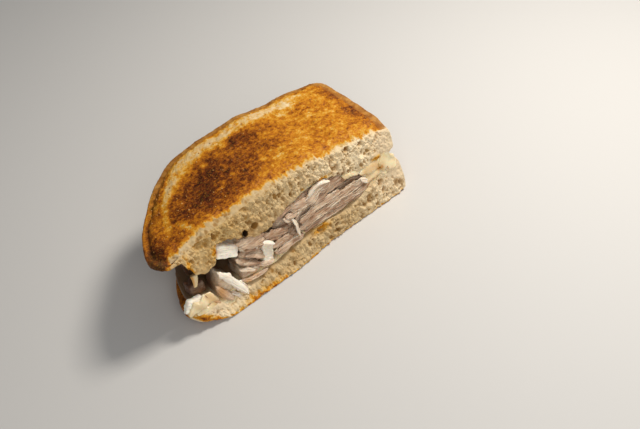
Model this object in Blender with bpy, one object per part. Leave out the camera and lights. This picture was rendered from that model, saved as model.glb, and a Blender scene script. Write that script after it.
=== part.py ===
"""One half of a grilled turkey melt, cut across a round-topped country loaf and resting on its lower slice.

X runs along the cut, from the domed top of the loaf (-X) to its flat base (+X). Y runs from the cut face
(-Y) to the side crust (+Y). Z is up. The half has slumped away from its cut, so every level lies a little
further back than the one below it: all pieces are first laid out in stack space, where y is the depth behind
the cut face, and then leaned back. Lengths are in millimetres until place() turns them into metres.
"""

import math

import bmesh
import bpy
from mathutils import Matrix, Vector, noise

MM = 0.001
TINY = 1e-6
SHARP_EDGE_DEG = 50.0

# Outline of the half slice, seen from above. The cut starts in a rounded nose that meets the dome.
CUT_START_X = -65.6
DOME_TIP_X = -71.3
DOME_TIP_Y = 8.6
DOME_POWER = 1.4
WIDEST_X = -21.8
HALF_WIDTH = 58.2
BASE_X = 69.3
BASE_LEAN = 1.9
FLANK_FALL = 985.0
BASE_CORNER_R = 6.0
DOME_SPLIT_DEG = 46.0
NOSE_SHARE = 0.2
MIDDLE = Vector((0.0, 26.0))

# Heights along the cut face, as (x, z) pairs.
TOP_CREST = ((-75, 40.3), (-60, 42.4), (-40, 44.6), (-10, 46.3), (15, 46.0), (40, 42.6), (70, 39.6))
TOP_THICKNESS = ((-75, 5.2), (-62, 7.2), (-40, 12.5), (-18, 14.5))
UNDER_CUT = (
    (-75, 35.2), (-67, 35.6), (-61.8, 36.4), (-59.5, 31.0), (-57.0, 26.4), (-52, 24.0), (-47, 25.0),
    (-42, 33.6), (-35, 32.2), (-29, 30.2), (-18, 27.0), (-3, 29.4), (15, 32.6), (50, 23.4), (72, 23.0),
)
BOTTOM_CREST = (
    (-75, 10.0), (-58, 9.2), (-46, 6.8), (-30, 6.0), (-14, 7.0), (0, 9.6), (15, 11.4), (33, 9.8), (48, 13.6),
    (62, 19.0), (74, 20.0),
)
CROWN_FALL = 1.5
TWIST = 6.0
CREST_UNEVEN = 0.5
CUT_ROLL = 2.8
CUT_ROLL_DEPTH = 7.0
NOTCH_START = 1.0
NOTCH_DEPTH = 9.0
BED_HEIGHT = 10.5
BED_EASE = 0.6
BED_EASE_DEPTH = 30.0
BED_UNEVEN = 0.4
HEEL_LIFT = 4.5
HEEL_START_X = -44.0
HEEL_LENGTH = 28.0
LEAN = 0.26

# The lower slice is a little shorter and has slid along the cut. Its lower edge is squeezed out at the cut.
BOTTOM_LENGTH = 0.965
BOTTOM_SHIFT_X = 3.5
FOOT = ((-62, 0.0), (-50, 3.0), (-12, 3.0), (22, 0.0))

# Edges of a slice of bread, as shares of how far its crust wall turns in.
ROW_EASE = 1.4
TOP_RIM = 4.0
BOTTOM_RIM = 3.0
CRUST_SWELL = 0.4
CRUST_ROUNDING = 0.32
CUT_TURN = 0.15
CUT_ROUNDING = 0.128
CUT_UNEVEN = 0.5

# The filling, in shares of its height, and the gap that keeps two pieces apart.
GAP = 0.5
SLIT = 0.010
CHEESE_SHARE = 0.09
CHEESE_START_X = -68.0
CHEESE_LIP = 5.0
TOP_CLEARANCE = 0.02
SEALED_SHARE = 0.485
SEAL_START = 0.85
SEAL_LENGTH = 0.08
TURKEY_SLICES = 5
WAVE = 1.6
FULL_WAVE_HEIGHT = 12.0
EDGE_BAND = 0.18
EDGE_RAGGED = 0.5
EDGE_TURN = 0.35
CHUNK_ROUNDNESS = 0.62
CHUNK_UNEVEN = 0.06

# The strand of cheese in the open mouth.
DRIP_X = -57.6
DRIP_Y = 2.2
DRIP_END_Z = 20.4
DRIP_ROOT_R = 2.1
DRIP_POINT_R = 0.8
DRIP_SWAY = 1.2
DRIP_FLATNESS = 0.6


def lerp(a, b, t):
    return a + (b - a) * t


def smooth(t):
    t = min(1.0, max(0.0, t))
    return t * t * (3.0 - 2.0 * t)


def along(pairs, x):
    """The height at x on the eased line through (x, z) pairs."""
    for (x0, z0), (x1, z1) in zip(pairs, pairs[1:]):
        if x <= x1:
            return lerp(z0, z1, smooth((x - x0) / (x1 - x0)))
    return pairs[-1][1]


def wobble(x, y, z, size, seed):
    """Smooth uneven relief from -1 to 1, with bumps about size millimetres across."""
    return noise.noise(Vector((x / size + 17.3 * seed, y / size - 9.1 * seed, z / size + 4.7 * seed)))


# ---------------------------------------------------------------- outline of the half slice


def dome_edge(angle):
    """A point of the loaf's domed crust, from its tip at 0 to its widest place at a right angle."""
    x = WIDEST_X - (WIDEST_X - DOME_TIP_X) * max(0.0, math.cos(angle)) ** (2 / DOME_POWER)
    return Vector((x, DOME_TIP_Y + (HALF_WIDTH - DOME_TIP_Y) * math.sin(angle) ** (2 / DOME_POWER)))


def flank_edge(x):
    """A point of the nearly straight side crust, ending in the rounded corner of the loaf's base."""
    y = HALF_WIDTH - (x - WIDEST_X) ** 2 / FLANK_FALL
    turn = max(0.0, x - (BASE_X - BASE_CORNER_R))
    return Vector((x, y - BASE_CORNER_R + math.sqrt(max(0.0, BASE_CORNER_R**2 - turn**2))))


def tip_side(v):
    """The left end: the cut's rounded nose, then the start of the dome."""
    if v < NOSE_SHARE:
        turn = v / NOSE_SHARE * math.pi / 2
        return Vector((lerp(CUT_START_X, DOME_TIP_X, math.sin(turn)), DOME_TIP_Y * (1 - math.cos(turn))))
    return dome_edge(math.radians(DOME_SPLIT_DEG) * (v - NOSE_SHARE) / (1 - NOSE_SHARE))


def far_side(t):
    """The back, from the dome to the corner at the loaf's base."""
    split = math.radians(DOME_SPLIT_DEG)
    start_x = dome_edge(split).x
    share = (WIDEST_X - start_x) / (BASE_X - start_x)
    if t < share:
        return dome_edge(lerp(split, math.pi / 2, t / share))
    return flank_edge(lerp(WIDEST_X, BASE_X, (t - share) / (1 - share)))


def base_side(v):
    """The right end: the loaf's flat base, leaning in a little towards the cut."""
    return Vector((BASE_X - BASE_LEAN * (1 - v) ** 2, flank_edge(BASE_X).y * v))


def half_slice(t, v):
    """Plan position on the half slice: t runs along the cut, v from the cut to the crust, each 0 to 1."""
    cut_start, cut_end = tip_side(0.0), base_side(0.0)
    corners = (
        cut_start * (1 - t) * (1 - v) + cut_end * t * (1 - v)
        + tip_side(1.0) * (1 - t) * v + base_side(1.0) * t * v
    )
    across = cut_start.lerp(cut_end, t) * (1 - v) + far_side(t) * v
    return across + tip_side(v) * (1 - t) + base_side(v) * t - corners


# ---------------------------------------------------------------- levels of the stack


def upper_plane(x, y):
    """The upper slice's own lie: it rises towards the back corner at the loaf's base."""
    back = y / HALF_WIDTH
    return along(TOP_CREST, x) - CROWN_FALL * back**2 + TWIST * back * x / BASE_X


def crest(x, y):
    """The grilled face of the upper slice, rolled down at the cut."""
    roll = CUT_ROLL * max(0.0, 1 - y / CUT_ROLL_DEPTH) ** 2
    return upper_plane(x, y) - roll + CREST_UNEVEN * wobble(x, y, 0, 16, 1)


def underside(x, y):
    """The lower face of the upper slice, dragged and ragged near the cut."""
    inside = smooth((y - NOTCH_START) / NOTCH_DEPTH)
    return lerp(along(UNDER_CUT, x), upper_plane(x, y) - along(TOP_THICKNESS, x), inside)


def sole(x, y):
    """The grilled face of the lower slice: flat, with its domed end lifted a little."""
    return HEEL_LIFT * smooth((HEEL_START_X - x) / HEEL_LENGTH)


def bed(x, y):
    """The upper face of the lower slice, where the filling lies."""
    inside = BED_EASE * smooth(y / BED_EASE_DEPTH)
    return lerp(along(BOTTOM_CREST, x), BED_HEIGHT, inside) + BED_UNEVEN * wobble(x, y, 0, 14, 2)


def level(x, y, share):
    """Height in the filling: share 0 on the lower slice, 1 under the upper one."""
    low, high = bed(x, y) + GAP, underside(x, y) - GAP
    swell = WAVE * math.sin(math.pi * share) * wobble(x, y, 0, 30, 3)
    return lerp(low, high, share) + swell * min(1.0, (high - low) / FULL_WAVE_HEIGHT)


# ---------------------------------------------------------------- building blocks


def box_mesh(columns, rows, layers):
    """A unit box from 0 to 1 each way, cut into that many columns, rows and layers."""
    bm = bmesh.new()
    bmesh.ops.create_cube(bm, size=1.0, matrix=Matrix.Translation((0.5, 0.5, 0.5)))
    for axis, parts in enumerate((columns, rows, layers)):
        edges = [e for e in bm.edges if abs(e.verts[0].co[axis] - e.verts[1].co[axis]) > TINY]
        if parts > 1:
            bmesh.ops.subdivide_edges(bm, edges=edges, cuts=parts - 1, use_grid_fill=True)
    return bm


def place(name, bm, material):
    """Leans the piece back, turns it into metres and makes it an object."""
    for vert in bm.verts:
        x, y, z = vert.co
        vert.co = Vector((x, y + LEAN * z, z)) * MM
    mesh = bpy.data.meshes.new(name)
    bm.to_mesh(mesh)
    bm.free()
    mesh.shade_smooth()
    mesh.set_sharp_from_angle(angle=math.radians(SHARP_EDGE_DEG))
    mesh.materials.append(material)
    obj = bpy.data.objects.new(name, mesh)
    bpy.context.collection.objects.link(obj)
    return obj


def finish_material(name, colour, roughness):
    material = bpy.data.materials.new(name)
    material.use_nodes = True
    shader = material.node_tree.nodes["Principled BSDF"]
    shader.inputs["Base Color"].default_value = (*colour, 1.0)
    shader.inputs["Roughness"].default_value = roughness
    return material


def rounded(share, power=3.0):
    """How far an edge has turned in at a share of the thickness: 0 in the middle, 1 at either face."""
    return 1 - (1 - abs(2 * share - 1) ** power) ** (1 / power)


# ---------------------------------------------------------------- bread


def no_foot(x):
    return 0.0


def squeezed_foot(x):
    """How far the lower slice's lower edge is squeezed out at the cut."""
    return along(FOOT, x)


def bread(name, floor, roof, plan, foot, rim, cells, material):
    """A half slice between two faces, with a swelling crust wall and a softened cut edge.

    plan is its length, as a share of the half slice's, and its shift along the cut. foot gives how far its
    lower edge is squeezed out at the cut.
    """
    length, shift_x = plan
    bm = box_mesh(*cells)
    for vert in bm.verts:
        t, v, w = vert.co
        v = v**ROW_EASE
        spot = half_slice(t, v)
        spot.x = spot.x * length + shift_x
        low, high = floor(spot.x, spot.y), roof(spot.x, spot.y)
        turn = rounded(w)
        rounding = 0.0
        if t < TINY or t > 1 - TINY or v > 1 - TINY:
            spot += (MIDDLE - spot).normalized() * rim * (turn - CRUST_SWELL)
            rounding = CRUST_ROUNDING
        elif v < TINY:
            spot.y += CUT_TURN * rim * turn + CUT_UNEVEN * wobble(spot.x, 0, 30 * w, 7, 4)
            spot.y -= foot(spot.x) * (1 - w) ** 2
            rounding = CUT_ROUNDING
        drop = rounding * rim * turn * (1 if w > 0.5 else -1)
        vert.co = Vector((spot.x, spot.y, lerp(low, high, w) - drop))
    return place(name, bm, material)


def upper_slice(material):
    return bread("bread_top", underside, crest, (1.0, 0.0), no_foot, TOP_RIM, (40, 12, 4), material)


def lower_slice(material):
    plan = (BOTTOM_LENGTH, BOTTOM_SHIFT_X)
    return bread("bread_bottom", sole, bed, plan, squeezed_foot, BOTTOM_RIM, (34, 10, 3), material)


# ---------------------------------------------------------------- filling


def layer(ends, depths, shares, seed, cells, inset, plump):
    """A wavy sheet of the filling.

    ends and depths are shares of the half slice along the cut and behind it. shares gives its lowest and
    highest level at a share of the cut. inset is how far its edge lies inside the bread, plump how much the
    sheet thins there.
    """
    bm = box_mesh(*cells)
    front, back = depths
    for vert in bm.verts:
        a, b, w = vert.co
        t = lerp(*ends, a)
        spot = half_slice(t, lerp(front(t), back, b))
        inward = Vector((1 - 2 * a, 1 - 2 * b))
        rim = max(abs(inward.x), abs(inward.y))
        if rim > 1 - TINY:
            ragged = EDGE_RAGGED * (1 + wobble(spot.x, spot.y, 0, 7, seed)) + EDGE_TURN * rounded(w)
            side = Vector(math.trunc(c * (1 + TINY)) for c in inward)
            spot += side * inset * ragged
        thin = plump * smooth((rim - 1 + EDGE_BAND) / EDGE_BAND)
        low, high = shares(t)
        share = lerp(low, high, lerp(thin / 2, 1 - thin / 2, w))
        vert.co = Vector((spot.x, spot.y, level(spot.x, spot.y, share)))
    return bm


def turkey_slices(material):
    """The stack of roast slices that fills the right-hand side from the cut to the crust."""
    low, high = CHEESE_SHARE + SLIT, 1 - CHEESE_SHARE - SLIT
    thickness = (high - low) / TURKEY_SLICES
    starts = (0.43, 0.42, 0.44, 0.425, 0.435)
    stops = (0.84, 0.88, 0.875, 0.88, 0.83)
    fronts = (0.000, 0.022, 0.004, 0.030, 0.012)
    backs = (0.97, 0.92, 0.96, 0.91, 0.94)
    for i in range(TURKEY_SLICES):
        bottom = low + i * thickness
        shares = (bottom + SLIT, bottom + thickness - SLIT)
        ends = (starts[i], stops[i])
        depths = (lambda t, front=fronts[i]: front, backs[i])
        cells = (round(44 * (stops[i] - starts[i])), 7, 2)
        sheet = layer(ends, depths, lambda t, pair=shares: pair, 5 + i, cells, inset=1.8, plump=0.42)
        place(f"turkey_slice_{i + 1}", sheet, material)


def turkey_folds(material):
    """Two thick folded slices that fill the dome end behind the loose chunks."""
    low, high = CHEESE_SHARE + SLIT, 1 - CHEESE_SHARE - SLIT
    middle = lerp(low, high, 4 / TURKEY_SLICES)
    folds = (((low + SLIT, middle - SLIT), 0.375, 0.95), ((middle + SLIT, high - SLIT), 0.245, 0.92))
    for i, (shares, stop, back) in enumerate(folds):
        depths = (lambda t: 0.34, back)
        cells = (10 - 4 * i, 7, 2)
        sheet = layer(
            (0.10, stop), depths, lambda t, pair=shares: pair, 11 + i, cells, inset=2.0, plump=0.5
        )
        place(f"turkey_fold_{i + 1}", sheet, material)


def clear_of_bread(spot):
    """Keeps a point of a loose piece off the upper slice, and off the lower one and its cheese."""
    share = CHEESE_SHARE * smooth((spot.x - CHEESE_START_X) / CHEESE_LIP)
    low, high = level(spot.x, spot.y, share) + GAP, underside(spot.x, spot.y) - 2 * GAP
    return Vector((spot.x, spot.y, min(high, max(low, spot.z))))


def turkey_chunks(material):
    """The loose torn pieces in the open mouth at the dome end: centre, size and turn of each."""
    pieces = (
        ((-38.6, 6.5, 26.8), (12.6, 11.0, 8.0), 33.0),
        ((-19.6, 6.0, 14.8), (8.8, 11.0, 9.8), 20.0),
        ((-41.8, 7.0, 13.6), (17.0, 13.0, 10.8), 32.0),
        ((-29.0, 9.5, 18.0), (6.6, 12.0, 5.4), 16.0),
        ((-29.4, 7.5, 9.6), (8.6, 13.0, 6.4), 6.0),
        ((-23.2, 8.0, 24.4), (15.4, 13.0, 6.0), 6.0),
        ((-64.7, 3.0, 14.4), (16.0, 6.0, 4.8), -20.0),
        ((-56.6, 10.2, 14.6), (10.0, 7.0, 6.6), -8.0),
    )
    for i, (centre, size, tilt_deg) in enumerate(pieces):
        bm = box_mesh(4, 4, 3)
        tilt = Matrix.Rotation(math.radians(tilt_deg), 3, "Y")
        for vert in bm.verts:
            p = vert.co * 2 - Vector((1, 1, 1))
            corner = sum(abs(c) ** 4 for c in p) ** 0.25
            p *= lerp(1.0, 1.0 / corner, CHUNK_ROUNDNESS)
            p *= 1.0 - CHUNK_UNEVEN * (1 + wobble(p.x, p.y, p.z, 0.8, 20 + i))
            block = Vector(p[axis] * size[axis] / 2 for axis in range(3))
            vert.co = clear_of_bread(Vector(centre) + tilt @ block)
        place(f"turkey_chunk_{i + 1}", bm, material)


def cheese_share(t):
    """The share of the filling that each cheese takes: thin over the turkey, closing at the loaf's base."""
    return lerp(CHEESE_SHARE, SEALED_SHARE, smooth((t - SEAL_START) / SEAL_LENGTH))


def cheese(material):
    """The two melted slices, one on each side of the turkey. The upper one starts behind the open mouth."""
    cells = (28, 8, 1)
    upper = layer(
        (0.05, 0.985), (lambda t: lerp(0.22, 0.01, smooth((t - 0.40) / 0.10)), 0.975),
        lambda t: (1 - cheese_share(t), 1 - TOP_CLEARANCE), 31, cells, inset=0.8, plump=0.1,
    )
    lower = layer(
        (0.06, 0.99), (lambda t: 0.012, 0.965),
        lambda t: (0.0, cheese_share(t)), 33, cells, inset=0.8, plump=0.1,
    )
    place("cheese_upper", upper, material)
    place("cheese_lower", lower, material)


def cheese_drip(material):
    """A pointed strand of cheese that hangs from the lip of the upper slice in the open mouth."""
    top = underside(DRIP_X + DRIP_ROOT_R, DRIP_Y) - GAP
    bm = bmesh.new()
    bmesh.ops.create_cone(
        bm, cap_ends=True, segments=10, radius1=DRIP_POINT_R, radius2=DRIP_ROOT_R, depth=top - DRIP_END_Z
    )
    rungs = [e for e in bm.edges if abs(e.verts[0].co.z - e.verts[1].co.z) > 1]
    bmesh.ops.subdivide_edges(bm, edges=rungs, cuts=4)
    for vert in bm.verts:
        z = vert.co.z + (top + DRIP_END_Z) / 2
        fall = (top - z) / (top - DRIP_END_Z)
        vert.co = Vector((DRIP_X + vert.co.x - DRIP_SWAY * fall**2, DRIP_Y + DRIP_FLATNESS * vert.co.y, z))
    place("cheese_drip", bm, material)


# ---------------------------------------------------------------- the whole half


def centre_on_base(objects):
    """Moves everything so that the origin is under the middle of the bounding box."""
    points = [v.co for obj in objects for v in obj.data.vertices]
    low = [min(p[i] for p in points) for i in range(3)]
    high = [max(p[i] for p in points) for i in range(3)]
    shift = Matrix.Translation((-(low[0] + high[0]) / 2, -(low[1] + high[1]) / 2, -low[2]))
    for obj in objects:
        obj.data.transform(shift)


def main():
    for obj in list(bpy.data.objects):
        bpy.data.objects.remove(obj)
    crumb = finish_material("bread", (0.78, 0.56, 0.29), 0.75)
    roast = finish_material("turkey", (0.72, 0.55, 0.44), 0.55)
    melted = finish_material("cheese", (0.86, 0.74, 0.50), 0.35)
    upper_slice(crumb)
    lower_slice(crumb)
    cheese(melted)
    cheese_drip(melted)
    turkey_slices(roast)
    turkey_folds(roast)
    turkey_chunks(roast)
    centre_on_base(list(bpy.context.collection.objects))


main()
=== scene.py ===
"""Finished look of one half of a grilled turkey melt.

Every piece is laid out in stack space, in millimetres: x runs along the cut, y is the depth behind the
cut face and z is up. Stack.seat() then leans it back, as the half has slumped, and puts it into the part's
frame.
"""

from __future__ import annotations

import logging
import math
import random
from dataclasses import dataclass, field
from enum import Enum
from typing import Callable, Iterable, Sequence

import bmesh
import bpy
from mathutils import Matrix, Vector, kdtree, noise


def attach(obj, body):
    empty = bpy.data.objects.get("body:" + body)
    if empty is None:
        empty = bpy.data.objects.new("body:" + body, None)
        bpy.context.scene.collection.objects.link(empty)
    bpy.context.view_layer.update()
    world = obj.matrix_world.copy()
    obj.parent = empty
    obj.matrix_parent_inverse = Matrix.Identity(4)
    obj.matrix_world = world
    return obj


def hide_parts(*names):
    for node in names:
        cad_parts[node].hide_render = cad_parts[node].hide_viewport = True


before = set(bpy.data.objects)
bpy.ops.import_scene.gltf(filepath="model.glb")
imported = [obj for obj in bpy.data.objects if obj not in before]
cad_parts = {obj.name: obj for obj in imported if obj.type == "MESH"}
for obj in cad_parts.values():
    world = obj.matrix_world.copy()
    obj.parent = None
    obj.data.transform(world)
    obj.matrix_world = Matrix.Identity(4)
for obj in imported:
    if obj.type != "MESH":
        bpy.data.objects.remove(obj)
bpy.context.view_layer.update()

MM = 0.001
TINY = 1e-6
LOG = logging.getLogger("turkey_melt")

PORE_RADII = (0.22, 0.62)
CELL_SPREAD = 53.7
# Where the painted shade of the open mouth begins, ends and eases.
MOUTH_FRONT_Y = 2.5
MOUTH_BACK_Y = 36.0
MOUTH_END_X = -4.0
MOUTH_EASE = 14.0
CHEESE_SHARE = 0.09

Color = tuple[float, float, float]
Pairs = Sequence[tuple[float, float]]


# ---------------------------------------------------------------- small sums


def lerp(a: float, b: float, t: float) -> float:
    """Blends from a at t 0 to b at t 1."""
    return a + (b - a) * t


def smooth(t: float) -> float:
    """Eases from 0 to 1 as t does, and holds outside that."""
    t = min(1.0, max(0.0, t))
    return t * t * (3.0 - 2.0 * t)


def gloom(spot: Vector, share: float) -> float:
    """Painted shade in the open mouth: it grows behind the cut and clears towards the back."""
    within = smooth((MOUTH_BACK_Y - spot.y) / MOUTH_EASE) * smooth((MOUTH_END_X - spot.x) / MOUTH_EASE)
    return share * max(0.0, spot.y - MOUTH_FRONT_Y) * within


def beside(distance: float, width: float, hold: float) -> float:
    """Falls from 1 beside an edge to 0 at hold widths from it, over the last width."""
    return smooth(hold - distance / width)


def fade(distance: float, reach: float) -> float:
    """Falls from 1 at no distance to 0 at reach, ending flat."""
    return max(0.0, 1.0 - distance / reach) ** 2


def along(pairs: Pairs, x: float) -> float:
    """Reads the eased line through (x, value) pairs.

    Args:
        pairs: Points of the line, in order of x.
        x: Where to read it.

    Returns:
        The value at x, held past the last point.
    """
    for (x0, z0), (x1, z1) in zip(pairs, pairs[1:]):
        if x <= x1:
            return lerp(z0, z1, smooth((x - x0) / (x1 - x0)))
    return pairs[-1][1]


def wobble(x: float, y: float, z: float, size: float, seed: float) -> float:
    """Smooth uneven relief from -1 to 1, with bumps about size millimetres across."""
    return noise.noise(Vector((x / size + 17.3 * seed, y / size - 9.1 * seed, z / size + 4.7 * seed)))


@dataclass(frozen=True)
class Grain:
    """Uneven relief of one size, which can be drawn out along the cut."""

    share: float
    size: float
    seed: float
    stretch: float = 1.0

    def at(self, x: float, y: float, z: float = 0.0) -> float:
        """The relief at a place, up to its share either way."""
        return self.share * wobble(x / self.stretch, y, z, self.size, self.seed)


def total(parts: Iterable[Grain | HotSpot | Pit | Groove], *place: float) -> float:
    """Adds up what every part gives at a place."""
    return sum(part.at(*place) for part in parts)


def bubbles(spot: Vector, size: float, seed: float) -> float:
    """Depth of the round pores that fill a crumb.

    Args:
        spot: The place, in millimetres.
        size: Mean spacing of the pores, in millimetres.
        seed: Which crumb.

    Returns:
        The depth as a share of size: 0 on the walls, up to about 0.6 in the largest pore.
    """
    distances, centres = noise.voronoi(spot / size + Vector((seed * 13.1, seed * 7.7, 0.0)))
    deepest = 0.0
    for distance, centre in zip(distances[:3], centres[:3]):
        radius = lerp(*PORE_RADII, noise.cell(centre * CELL_SPREAD))
        deepest = max(deepest, radius * radius - distance * distance)
    return math.sqrt(deepest)


def foam(spot: Vector, size: float, seed: float) -> float:
    """Depth of closely packed pores with thin walls between them.

    Args:
        spot: The place, in millimetres.
        size: Mean size of a pore, in millimetres.
        seed: Which crumb.

    Returns:
        0 on a wall to 1 in the middle of an open pore.
    """
    distances, centres = noise.voronoi(spot / size + Vector((seed * 5.3, seed * 11.9, 0.0)))
    return smooth((distances[1] - distances[0]) / 0.5) * noise.cell(centres[0] * CELL_SPREAD)


# ---------------------------------------------------------------- form of the half


@dataclass(frozen=True)
class HalfOutline:
    """The half slice seen from above: a rounded nose, the dome, the side crust and the loaf's flat base."""

    cut_start_x: float = -65.6
    dome_tip: tuple[float, float] = (-71.3, 8.6)
    dome_power: float = 1.4
    widest_x: float = -21.8
    half_width: float = 58.2
    base_x: float = 69.3
    base_lean: float = 1.9
    flank_fall: float = 985.0
    base_corner_r: float = 6.0
    dome_split: float = math.radians(46.0)
    nose_share: float = 0.2

    def dome_edge(self, angle: float) -> Vector:
        """A point of the domed crust, from its tip at 0 to its widest place at a right angle.

        Args:
            angle: Turn round the dome, in radians.

        Returns:
            The point, seen from above.
        """
        tip_x, tip_y = self.dome_tip
        power = 2 / self.dome_power
        x = self.widest_x - (self.widest_x - tip_x) * max(0.0, math.cos(angle)) ** power
        return Vector((x, tip_y + (self.half_width - tip_y) * math.sin(angle) ** power))

    def flank_edge(self, x: float) -> Vector:
        """A point of the nearly straight side crust, with the rounded corner of the loaf's base.

        Args:
            x: Place along the cut.

        Returns:
            The point, seen from above.
        """
        y = self.half_width - (x - self.widest_x) ** 2 / self.flank_fall
        turn = max(0.0, x - (self.base_x - self.base_corner_r))
        corner = math.sqrt(max(0.0, self.base_corner_r**2 - turn**2))
        return Vector((x, y - self.base_corner_r + corner))

    def tip_side(self, v: float) -> Vector:
        """The left end: the cut's rounded nose, then the start of the dome.

        Args:
            v: Share of the way from the cut, 0 to 1.

        Returns:
            The point, seen from above.
        """
        tip_x, tip_y = self.dome_tip
        if v < self.nose_share:
            turn = v / self.nose_share * math.pi / 2
            return Vector((lerp(self.cut_start_x, tip_x, math.sin(turn)), tip_y * (1 - math.cos(turn))))
        return self.dome_edge(self.dome_split * (v - self.nose_share) / (1 - self.nose_share))

    def far_side(self, t: float) -> Vector:
        """The back, from the dome to the corner at the loaf's base.

        Args:
            t: Share of the way from the dome, 0 to 1.

        Returns:
            The point, seen from above.
        """
        start_x = self.dome_edge(self.dome_split).x
        share = (self.widest_x - start_x) / (self.base_x - start_x)
        if t < share:
            return self.dome_edge(lerp(self.dome_split, math.pi / 2, t / share))
        return self.flank_edge(lerp(self.widest_x, self.base_x, (t - share) / (1 - share)))

    def base_side(self, v: float) -> Vector:
        """The right end: the loaf's flat base, leaning in a little towards the cut."""
        return Vector((self.base_x - self.base_lean * (1 - v) ** 2, self.flank_edge(self.base_x).y * v))

    def at(self, t: float, v: float) -> Vector:
        """Plan position: t runs along the cut, v from the cut to the crust, each 0 to 1.

        Args:
            t: Share of the way along the cut, 0 to 1.
            v: Share of the way from the cut to the crust.

        Returns:
            The point, seen from above.
        """
        cut_start, cut_end = self.tip_side(0.0), self.base_side(0.0)
        corners = (
            cut_start * (1 - t) * (1 - v) + cut_end * t * (1 - v)
            + self.tip_side(1.0) * (1 - t) * v + self.base_side(1.0) * t * v
        )
        across = cut_start.lerp(cut_end, t) * (1 - v) + self.far_side(t) * v
        return across + self.tip_side(v) * (1 - t) + self.base_side(v) * t - corners

    def crust_tree(self, steps: int = 240) -> kdtree.KDTree:
        """Points along the crust, to measure how far a place lies inside it.

        Args:
            steps: Runs on each side.

        Returns:
            The points, ready to search.
        """
        rim = []
        for i in range(steps + 1):
            share = i / steps
            rim += [self.tip_side(share), self.far_side(share), self.base_side(share)]
        tree = kdtree.KDTree(len(rim))
        for i, point in enumerate(rim):
            tree.insert(point.to_3d(), i)
        tree.balance()
        return tree


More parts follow.
